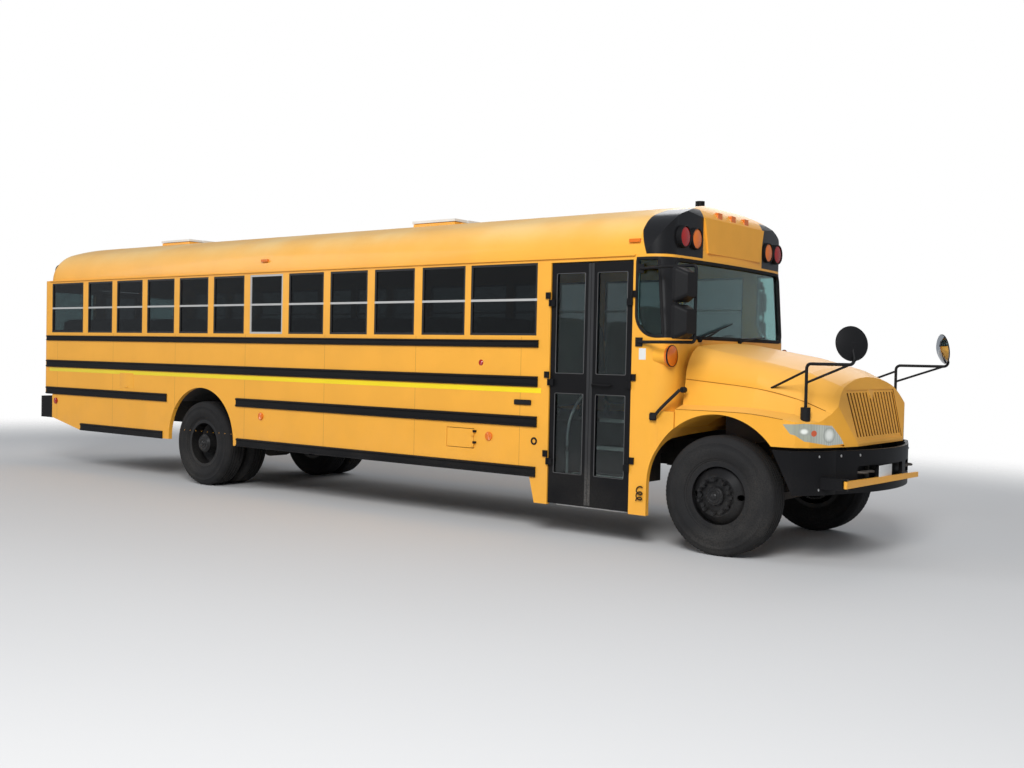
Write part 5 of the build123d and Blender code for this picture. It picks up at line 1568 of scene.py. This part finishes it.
@dataclass
class HoodTrim:
    """Screen behind the grille, notch plate, panel lines, latches and mirror faces on the hood."""

    # Points along the hood's upper and lower panel line, with X measured from the front axle
    creases: Tuple[Place, ...] = (
        (-0.39, -1.0115, 1.498), (0.25, -0.9615, 1.4365), (0.62, -0.9265, 1.3565), (0.84, -0.8845, 1.2705))
    lines: Tuple[Place, ...] = ((-0.39, -1.1875, 1.2365), (0.25, -1.1875, 1.2335), (0.60, -1.1865, 1.198))
    seam: float = 0.005
    # Lower and upper front edge (x, z), half width below, thickness and half width above
    screen: LeaningPlate = ((0.925, 1.025), (0.815, 1.43), 0.53, 0.012, 0.57)
    notch: LeaningPlate = ((0.899, 1.345), (0.8745, 1.452), 0.012, 0.03, 0.075)
    strap: Tuple[Place, ...] = ((-0.585, -1.232, 1.16), (-0.50, -1.236, 1.25), (-0.375, -1.150, 1.405))
    foot: Tuple[Place, Place] = ((-0.625, -1.246, 1.13), (-0.555, -HALF, 1.20))
    knob: Place = (-0.363, -1.115, 1.405)
    mirror_at: Place = (1.14353, -1.15, 1.82)
    mirror_normal: Place = (-0.76, 0.6, -0.15)
    mirror_radius: float = 0.137
    mirror_rise: float = 0.0535
    mirror_fall: float = 0.0465

    @staticmethod
    def line(points: Sequence[Place], width: float, height: float, up: Place) -> Patch:
        """A strip along a smooth path through points given from the front axle."""
        return bead(smooth_path([row_place(p) for p in points], 6), width, height, up, close=False)

    def mirror_face(self) -> Patch:
        """The right crossview mirror's face.

        Returns:
            A bowl, height = rise - fall * (r / radius)^2, turned to look along its normal.
        """
        radius = self.mirror_radius
        r = np.linspace(0, radius, 16)
        bowl = np.column_stack([r, self.mirror_rise - self.mirror_fall * (r / radius) ** 2])
        face = spun(np.vstack([bowl, [(radius, 0.002), (0.0, 0.002)]]), (0, 0, 0), "Z", 40)
        normal = Vector(self.mirror_normal).normalized()
        turn = np.array(Vector((0, 0, 1)).rotation_difference(normal).to_matrix())
        return face.turned(turn).moved(row_place(self.mirror_at))

    def build(self) -> None:
        """Builds the hood's pieces, which ride on it, and the latches, which stay on the cowl."""
        Piece("grille_screen", leaning(*self.screen), Finishes.plastic, "hood").build()
        Piece("grille_notch", leaning(*self.notch), Finishes.paint, "hood", smooth=False, bevel=0.004).build()
        seams = [self.line(points, self.seam, self.seam, (0, 0, 1)) for points in (self.creases, self.lines)]
        Piece("hood_seams", both_sides(*seams), Finishes.seam, "hood").build()
        latch = [self.line(self.strap, 0.030, 0.012, (0, -1, 0)), slab(*map(row_place, self.foot), 0.012)]
        Piece("hood_latches", both_sides(*latch), Finishes.rubber).build()
        knob = ring(0.004, 0.026, 0.03, 0.02, -1.0, row_place(self.knob), "Y")
        Piece("hood_knobs", both_sides(knob), Finishes.rubber, "hood").build()
        Piece("crossview_faces", both_sides(self.mirror_face()), Finishes.mirror, "hood").build()


@dataclass
class SideMirrors:
    """Mirror faces of the two pairs of side mirrors."""

    heads: Tuple[Tuple[float, Side], ...] = ((-0.255, Side.RIGHT), (-0.955, Side.LEFT))
    spans: Tuple[Tuple[float, float], ...] = ((1.84, 2.13), (2.15, 2.44))
    outer: float = -1.52
    inner: float = -1.30
    border: float = 0.015

    def build(self) -> None:
        """Builds a face plate on each head's rear side."""
        faces = []
        for x, side in self.heads:
            for low, high in self.spans:
                plate = slab((row(x) - 0.003, self.outer, low + self.border),
                             (row(x) + 0.004, self.inner, high - self.border), 0.0018)
                faces.append(plate if side is Side.RIGHT else plate.flipped())
        Piece("mirror_faces", joined(faces), Finishes.mirror).build()


@dataclass
class EntranceDoor:
    """Trims, seals and handle of the entrance door, and the steps' nosings and grab rail."""

    face: float = -1.209
    panes: Tuple[Tuple[float, float], ...] = ((0.59, 1.33), (1.52, 2.44))
    # Each leaf's name, its two ends and the two ends of its seal
    leaves: Tuple[Tuple[str, float, float, Tuple[float, float]], ...] = (
        ("rear", -1.724, -1.290, (-1.312, -1.2815)), ("front", -1.270, -0.836, (-1.2785, -1.248)))
    pane_inset: float = 0.058
    seal_z: Tuple[float, float] = (0.31, 2.53)
    handle_z: Tuple[float, float] = (1.425, 1.42)
    handle_out: float = 0.03
    steps: Tuple[Tuple[float, float], ...] = ((-1.155, 0.310), (-0.92, 0.560), (-0.68, 0.812), (-0.45, 1.065))
    steps_x: Tuple[float, float] = (-1.66, -0.90)
    rail: Tuple[Place, ...] = (
        (-1.64, -1.02, 0.42), (-1.64, -1.02, 0.95), (-1.62, -0.95, 1.18), (-1.60, -0.80, 1.33),
        (-1.60, -0.55, 1.42))
    rail_radius: float = 0.014

    def leaf(self, name: str, x0: float, x1: float, seal: Tuple[float, float]) -> None:
        """Builds one leaf's trims and its seal, on its own body.

        Args:
            name: the leaf, front or rear.
            x0: its rear edge.
            x1: its front edge.
            seal: the rear and front edges of its rubber seal.
        """
        span = (x0 + self.pane_inset, x1 - self.pane_inset)
        trims = [side_ring(span, (z0 - 0.002, z1 + 0.002), self.face - 0.001, 0.012, (0.007, 0.005))
                 for z0, z1 in self.panes]
        Piece(f"door_trims_{name}", joined(trims), Finishes.trim, f"door_leaf_{name}").build()
        strip = slab((row(seal[0]), self.face - 0.007, self.seal_z[0]),
                     (row(seal[1]), self.face + 0.03, self.seal_z[1]), 0.006)
        Piece(f"door_seal_{name}", strip, Finishes.seal, f"door_leaf_{name}").build()

    def build(self) -> None:
        """Builds the leaves' pieces, the handle on the front leaf, and the fixed nosings and rail."""
        for leaf in self.leaves:
            self.leaf(*leaf)
        near, far, (z0, z1) = self.face - 0.002, self.face - self.handle_out, self.handle_z
        grip = smooth_path([(row(-1.235), near, z0), (row(-1.225), far, z0),
                            (row(-1.06), far, z1), (row(-1.05), near, z1)], 5)
        handle = bead(grip, 0.022, 0.012, (0, 0, 1), close=False)
        Piece("door_handle", handle, Finishes.plastic, "door_leaf_front").build()
        x0, x1 = self.steps_x
        nosings = [slab((row(x0), y - 0.004, z - 0.028), (row(x1), y + 0.055, z + 0.004), 0.003)
                   for y, z in self.steps]
        Piece("step_nosings", joined(nosings), Finishes.white).build()
        rail = smooth_path([row_place(place) for place in self.rail], 8)
        Piece("grab_rail", swept(rail, circle(self.rail_radius, 10)), Finishes.aluminium).build()


@dataclass
class Skin:
    """Rivets, roof seams, small plates and fittings on the outer skin."""

    spacing: float = 0.114
    rivet: Tuple[float, float] = (0.005, 0.0022)
    rivet_span: Tuple[float, float] = (-10.40, -1.85)
    rivet_rows: Tuple[float, ...] = (0.665, 1.56, 1.70, 1.842)
    seam_span: Tuple[float, float] = (-9.95, -0.9)
    seam_pitch: float = 0.684
    shoulder_at: Tuple[float, float] = (0.819, 2.59)
    shoulder_radius: float = 0.4
    shoulder_turn: float = 71.3
    crown_z: float = 0.173
    crown_radius: float = 2.952
    crown_half: float = 0.947
    # Lowest and highest corner and chamfer of each small plate, with X measured from the front axle
    access: Tuple[Tuple[Place, Place, float], ...] = (
        ((-8.74, -HALF - 0.002, 1.14), (-8.43, -HALF + 0.001, 1.34), 0.001),
        ((-8.62, -HALF - 0.008, 1.15), (-8.55, -HALF, 1.17), 0.003))
    vent: Tuple[Place, Place, float] = ((-2.13, -HALF - 0.018, 1.205), (-1.93, -HALF, 1.255), 0.006)
    label: Tuple[Place, Place, float] = (
        (-0.755, -HALF - 0.0008, 1.66), (-0.685, -HALF + 0.001, 1.76), 0.0004)
    cap_at: Place = (-1.89, -HALF, 0.868)
    marker_at: Place = (-2.56, -HALF, 1.598)

    @staticmethod
    def plate(low: Place, high: Place, bevel: float) -> Patch:
        """A small plate between two corners measured from the front axle."""
        return slab(row_place(low), row_place(high), bevel)

    def roof_line(self) -> Array:
        """The roof's arch from side to side.

        Returns:
            Points (y, z) along a shoulder arc, a crown arc that meets it at crown_half, and their mirror
            images.
        """
        turn = np.linspace(0, math.radians(self.shoulder_turn), 8)
        shoulder = self.shoulder_radius * np.column_stack([np.cos(turn), np.sin(turn)]) + self.shoulder_at
        lean = np.linspace(math.asin(self.crown_half / self.crown_radius), 0, 10)[1:]
        crown = self.crown_radius * np.column_stack([np.sin(lean), np.cos(lean)]) + [0, self.crown_z]
        half = np.vstack([shoulder, crown])
        return np.vstack([half, (half * [-1, 1])[::-1][1:]])

    def rivets(self) -> Patch:
        """Rows of rivet heads along the right side.

        Returns:
            One head at each spacing of each row.
        """
        xs = np.arange(*map(row, self.rivet_span), self.spacing)
        spots = np.array([(x, -HALF, z) for z in self.rivet_rows for x in xs])
        return dome(*self.rivet, "Y", -1.0, 6).copies(spots)

    def roof_seams(self) -> Patch:
        """A flat strip over the roof at each joint between its panels.

        Returns:
            The strips as one patch.
        """
        line = self.roof_line()
        section = rounded_outline(0.0024, 0.020, 0.001, 2)
        xs = np.arange(*map(row, self.seam_span), self.seam_pitch)
        paths = [np.column_stack([np.full(len(line), x), line]) for x in xs]
        return joined([swept(path, section, (1, 0, 0)) for path in paths])

    @staticmethod
    def coil() -> Patch:
        """A small dark coil at the front corner.

        Returns:
            A round section carried along x = x0 + r cos a, y = y0 - s a, z = z0 - p a + q sin a.
        """
        turns = np.linspace(0, 5 * math.pi, 60)
        curl = np.column_stack([row(-0.71) + 0.030 * np.cos(turns), -HALF - 0.012 - 0.004 * turns / 9,
                                0.53 - 0.0075 * turns + 0.022 * np.sin(turns)])
        return swept(curl, circle(0.0055, 6), (0, -1, 0))

    def build(self) -> None:
        """Builds the skin's pieces."""
        Piece("rivets", both_sides(self.rivets()), Finishes.paint).build()
        Piece("roof_seams", self.roof_seams(), Finishes.roof).build()
        plates = joined([self.plate(*plate) for plate in self.access])
        Piece("access_plates", plates, Finishes.paint).build()
        cap = ring(0.020, 0.036, 0.004, 0.010, -1.0, row_place(self.cap_at), "Y")
        dark = joined([self.plate(*self.vent), cap, self.coil()])
        Piece("dark_fittings", dark, Finishes.plastic).build()
        marker = lens_disc(0.030, 0.008, -1.0, row_place(self.marker_at), "Y")
        Piece("side_marker", marker, Finishes.red).build()
        Piece("blank_label", self.plate(*self.label), Finishes.white).build()


@dataclass
class Bumpers:
    """Bolts, a dark strip that stands in for the shade behind the openings, tow hooks and blank plates of the
    bumpers.
    """

    bow: float = 1.95
    foremost: float = 1.12
    shade_backing_x: float = 1.055
    shade_backing_half: float = 0.70
    middle_z: float = 0.76
    bolt: Tuple[float, float] = (0.013, 0.007)
    bolt_z: Tuple[float, float] = (0.905, 0.635)
    face_bolts: Tuple[float, ...] = (0.80, 0.59)
    end_bolt: Tuple[float, float] = (0.860, -1.04)
    hooks: Tuple[float, ...] = (-0.545, -0.405)
    hook_radius: float = 0.011
    plate_y: Tuple[float, float] = (-0.405, -0.105)
    plate_z: Tuple[float, float] = (0.668, 0.812)
    rear_plate: Tuple[Place, Place] = ((-10.669, 0.44, 1.30), (-10.661, 0.74, 1.45))

    def face_x(self, y: Array) -> Array:
        """The front bumper's face: row X = foremost - R + sqrt(R^2 - y^2)."""
        return row(self.foremost - self.bow + np.sqrt(self.bow**2 - y * y))

    def shade_backing(self) -> Patch:
        """A dark strip behind the openings, bent like the face, standing in for the shade behind them where
        the frame's crossmember sits.

        Returns:
            The strip along x = shade_backing_x - R + sqrt(R^2 - y^2).
        """
        y = np.linspace(-self.shade_backing_half, self.shade_backing_half, 25)
        x = row(self.shade_backing_x - self.bow) + np.sqrt(self.bow**2 - y**2)
        arc = np.column_stack([x, y, np.full(len(y), self.middle_z)])
        return bead(arc, 0.006, 0.17, (0, 0, 1), close=False)

    def hook(self, y: float) -> Patch:
        """A tow hook: a round bar bent to a loop.

        Args:
            y: its middle across the bus.
        Returns:
            The bar about that place.
        """
        loop = ((0.90, -0.05), (1.02, -0.045), (1.075, 0.0), (1.02, 0.045), (0.90, 0.05))
        path = smooth_path([(row(x), y + aside, self.middle_z) for x, aside in loop], 6)
        return swept(path, circle(self.hook_radius, 8), (0, 0, 1))

    def build(self) -> None:
        """Builds the pieces on the body."""
        spots = [(float(self.face_x(y)) - 0.001, -y, self.bolt_z[0]) for y in self.face_bolts]
        spots += [(row(self.end_bolt[0]), self.end_bolt[1], z) for z in self.bolt_z]
        # Painted shade: a dark strip behind the bumper's openings stands in for the shade behind them
        Piece("bumper_shade_backing", self.shade_backing(), Finishes.black).build()
        bolts = dome(*self.bolt, "X", 1.0, 10).copies(np.array(spots))
        Piece("bumper_bolts", both_sides(bolts), Finishes.aluminium).build()
        Piece("tow_hooks", both_sides(*map(self.hook, self.hooks)), Finishes.cast).build()
        (y0, y1), (z0, z1), x = self.plate_y, self.plate_z, float(self.face_x(0.10))
        front = slab((x + 0.003, y0, z0), (x + 0.008, y1, z1), 0.002)
        rear = slab(*map(row_place, self.rear_plate), 0.003)
        Piece("blank_plates", joined([front, rear]), Finishes.white).build()


@dataclass
class StopSign:
    """White borders and two lamps on the stop arm's blank octagon."""

    centre_x: float = -2.06
    centre_z: float = 1.6
    border_radius: float = 0.217
    border_ys: Tuple[float, float] = (1.2512, 1.2448)
    lamp_radius: float = 0.038
    lamp_y: float = 1.2515
    lamp_lift: float = 0.145

    def build(self) -> None:
        """Builds the borders and lamps on the stop arm."""
        turn = np.radians(22.5 + 45 * np.arange(8))
        flat = self.border_radius * np.column_stack([np.cos(turn), np.sin(turn)])
        flat = flat + [row(self.centre_x), self.centre_z]
        borders = [bead(np.column_stack([flat[:, 0], np.full(8, y), flat[:, 1]]), 0.020, 0.0016, (0, 1, 0))
                   for y in self.border_ys]
        Piece("stop_border", joined(borders), Finishes.white, "stop_arm", smooth=False).build()
        heights = [self.centre_z + side * self.lamp_lift for side in (-1, 1)]
        lamps = [lens_disc(self.lamp_radius, 0.012, 1.0, (row(self.centre_x), self.lamp_y, z), "Y")
                 for z in heights]
        Piece("stop_lamps", joined(lamps), Finishes.red, "stop_arm").build()


@dataclass
class ReflectiveStrips:
    """The bright strip below the second rub rail, on both sides."""

    low: float = 1.322
    high: float = 1.372
    rear_x: float = -10.48
    front_x: float = -1.82

    def build(self) -> None:
        """Builds a thin slab along each side."""
        strip = slab((row(self.rear_x), -HALF - 0.0012, self.low),
                     (row(self.front_x), -HALF + 0.001, self.high), 0.0005)
        Piece("reflective_strips", both_sides(strip), Finishes.strip).build()


@dataclass
class Studio:
    """Floor, lights and the camera at the photo's view."""

    camera_at: Place = (4.461 + AXLE_X, -9.716, 1.663)
    yaw: float = 127.961
    pitch: float = -1.403
    roll: float = 1.217
    focal_px: float = 1121.98
    picture_px: float = 1024.0
    sensor_mm: float = 36.0
    # Name, place, side in metres and power in watts
    lamps: Tuple[Tuple[str, Place, float, float], ...] = (
        ("key", (9.0, -12.0, 10.0), 6.0, 1900.0), ("fill", (-12.0, -10.0, 8.0), 8.0, 800.0),
        ("back", (0.0, 13.0, 9.0), 10.0, 650.0))
    aim: Place = (0.0, 0.0, 1.2)
    sky: Colour = (0.62, 0.66, 0.72)
    sky_strength: float = 0.46
    floor_half: float = 60.0
    floor_tone: float = 0.62
    floor_reach: Tuple[float, float] = (17.0, 12.0)
    floor_fade: Tuple[float, float] = (0.55, 1.0)

    def camera(self) -> None:
        """Sets the camera: right is forward x up, turned by the roll about forward."""
        yaw, pitch, roll = (math.radians(a) for a in (self.yaw, self.pitch, self.roll))
        forward = Vector((math.cos(pitch) * math.cos(yaw), math.cos(pitch) * math.sin(yaw), math.sin(pitch)))
        right = forward.cross(Vector((0, 0, 1))).normalized()
        up = right.cross(forward)
        side = right * math.cos(roll) + up * math.sin(roll)
        top = up * math.cos(roll) - right * math.sin(roll)
        data = bpy.data.cameras.new("camera")
        data.sensor_width = self.sensor_mm
        data.lens = self.focal_px * self.sensor_mm / self.picture_px
        data.clip_end = 200.0
        camera = bpy.data.objects.new("camera", data)
        bpy.context.scene.collection.objects.link(camera)
        turn = Matrix((side, top, -forward)).transposed()
        camera.matrix_world = Matrix.Translation(self.camera_at) @ turn.to_4x4()
        bpy.context.scene.camera = camera

    def light(self, name: str, at: Place, size: float, power: float) -> None:
        """A square area light that looks at the middle of the bus.

        Args:
            name: its name.
            at: its place.
            size: its side in metres.
            power: watts.
        """
        data = bpy.data.lights.new(name, "AREA")
        data.size, data.energy = size, power
        lamp = bpy.data.objects.new(name, data)
        bpy.context.scene.collection.objects.link(lamp)
        lamp.location = at
        lamp.rotation_euler = (Vector(self.aim) - Vector(at)).to_track_quat("-Z", "Y").to_euler()

    def world(self) -> None:
        """A soft world that the camera and the rays through glass see as white."""
        world = bpy.data.worlds.new("world")
        bpy.context.scene.world = world
        world.use_nodes = True
        nodes = NodeTree(world.node_tree)
        back = world.node_tree.nodes["Background"]
        path = nodes.add("LightPath")
        seen = nodes.maths("MAXIMUM", path.outputs["Is Camera Ray"], path.outputs["Is Transmission Ray"])
        nodes.link(nodes.mix(seen, self.sky, (1.0, 1.0, 1.0)), back.inputs["Color"])
        strength = nodes.add("MapRange", in_3=self.sky_strength, in_4=1.0)
        nodes.link(seen, strength.inputs[0])
        nodes.link(strength.outputs[0], back.inputs["Strength"])

    def floor_finish(self) -> bpy.types.Material:
        """A pale finish that fades out with distance.

        Returns:
            The material, whose alpha falls as sqrt((x / reach x)^2 + (y / reach y)^2) grows.
        """
        material = bpy.data.materials.new("studio_floor")
        material.use_nodes = True
        shader = material.node_tree.nodes["Principled BSDF"]
        shader.inputs["Base Color"].default_value = (self.floor_tone, self.floor_tone, self.floor_tone, 1)
        shader.inputs["Roughness"].default_value = 0.9
        nodes = NodeTree(material.node_tree)
        squares = [nodes.maths("POWER", nodes.maths("DIVIDE", place, reach), 2)
                   for place, reach in zip(nodes.object_axes(), self.floor_reach)]
        away = nodes.maths("SQRT", nodes.maths("ADD", *squares))
        nodes.link(nodes.without(nodes.ramp(away, *self.floor_fade)), shader.inputs["Alpha"])
        return material

    def floor(self) -> None:
        """A pale floor."""
        half = self.floor_half
        mesh = bpy.data.meshes.new("floor")
        corners = [(-half, -half, 0), (half, -half, 0), (half, half, 0), (-half, half, 0)]
        mesh.from_pydata(corners, [], [(0, 1, 2, 3)])
        floor = bpy.data.objects.new("studio_floor", mesh)
        bpy.context.scene.collection.objects.link(floor)
        mesh.materials.append(self.floor_finish())

    def build(self) -> None:
        """Sets up the whole studio."""
        self.camera()
        for lamp in self.lamps:
            self.light(*lamp)
        self.world()
        self.floor()
        bpy.context.scene.view_settings.view_transform = "Standard"


def main() -> None:
    """Builds every sub-assembly in order."""
    logging.basicConfig(level=logging.INFO)
    NodeFinishes().dress()
    for assembly in (ReflectiveStrips, Tyres, WheelTrim, Benches, Glazing, Wipers, LampFaces, HoodTrim,
                     SideMirrors, EntranceDoor, Skin, Bumpers, StopSign, Studio):
        log.info("building %s", assembly.__name__)
        assembly().build()


if __name__ == "__main__":
    main()
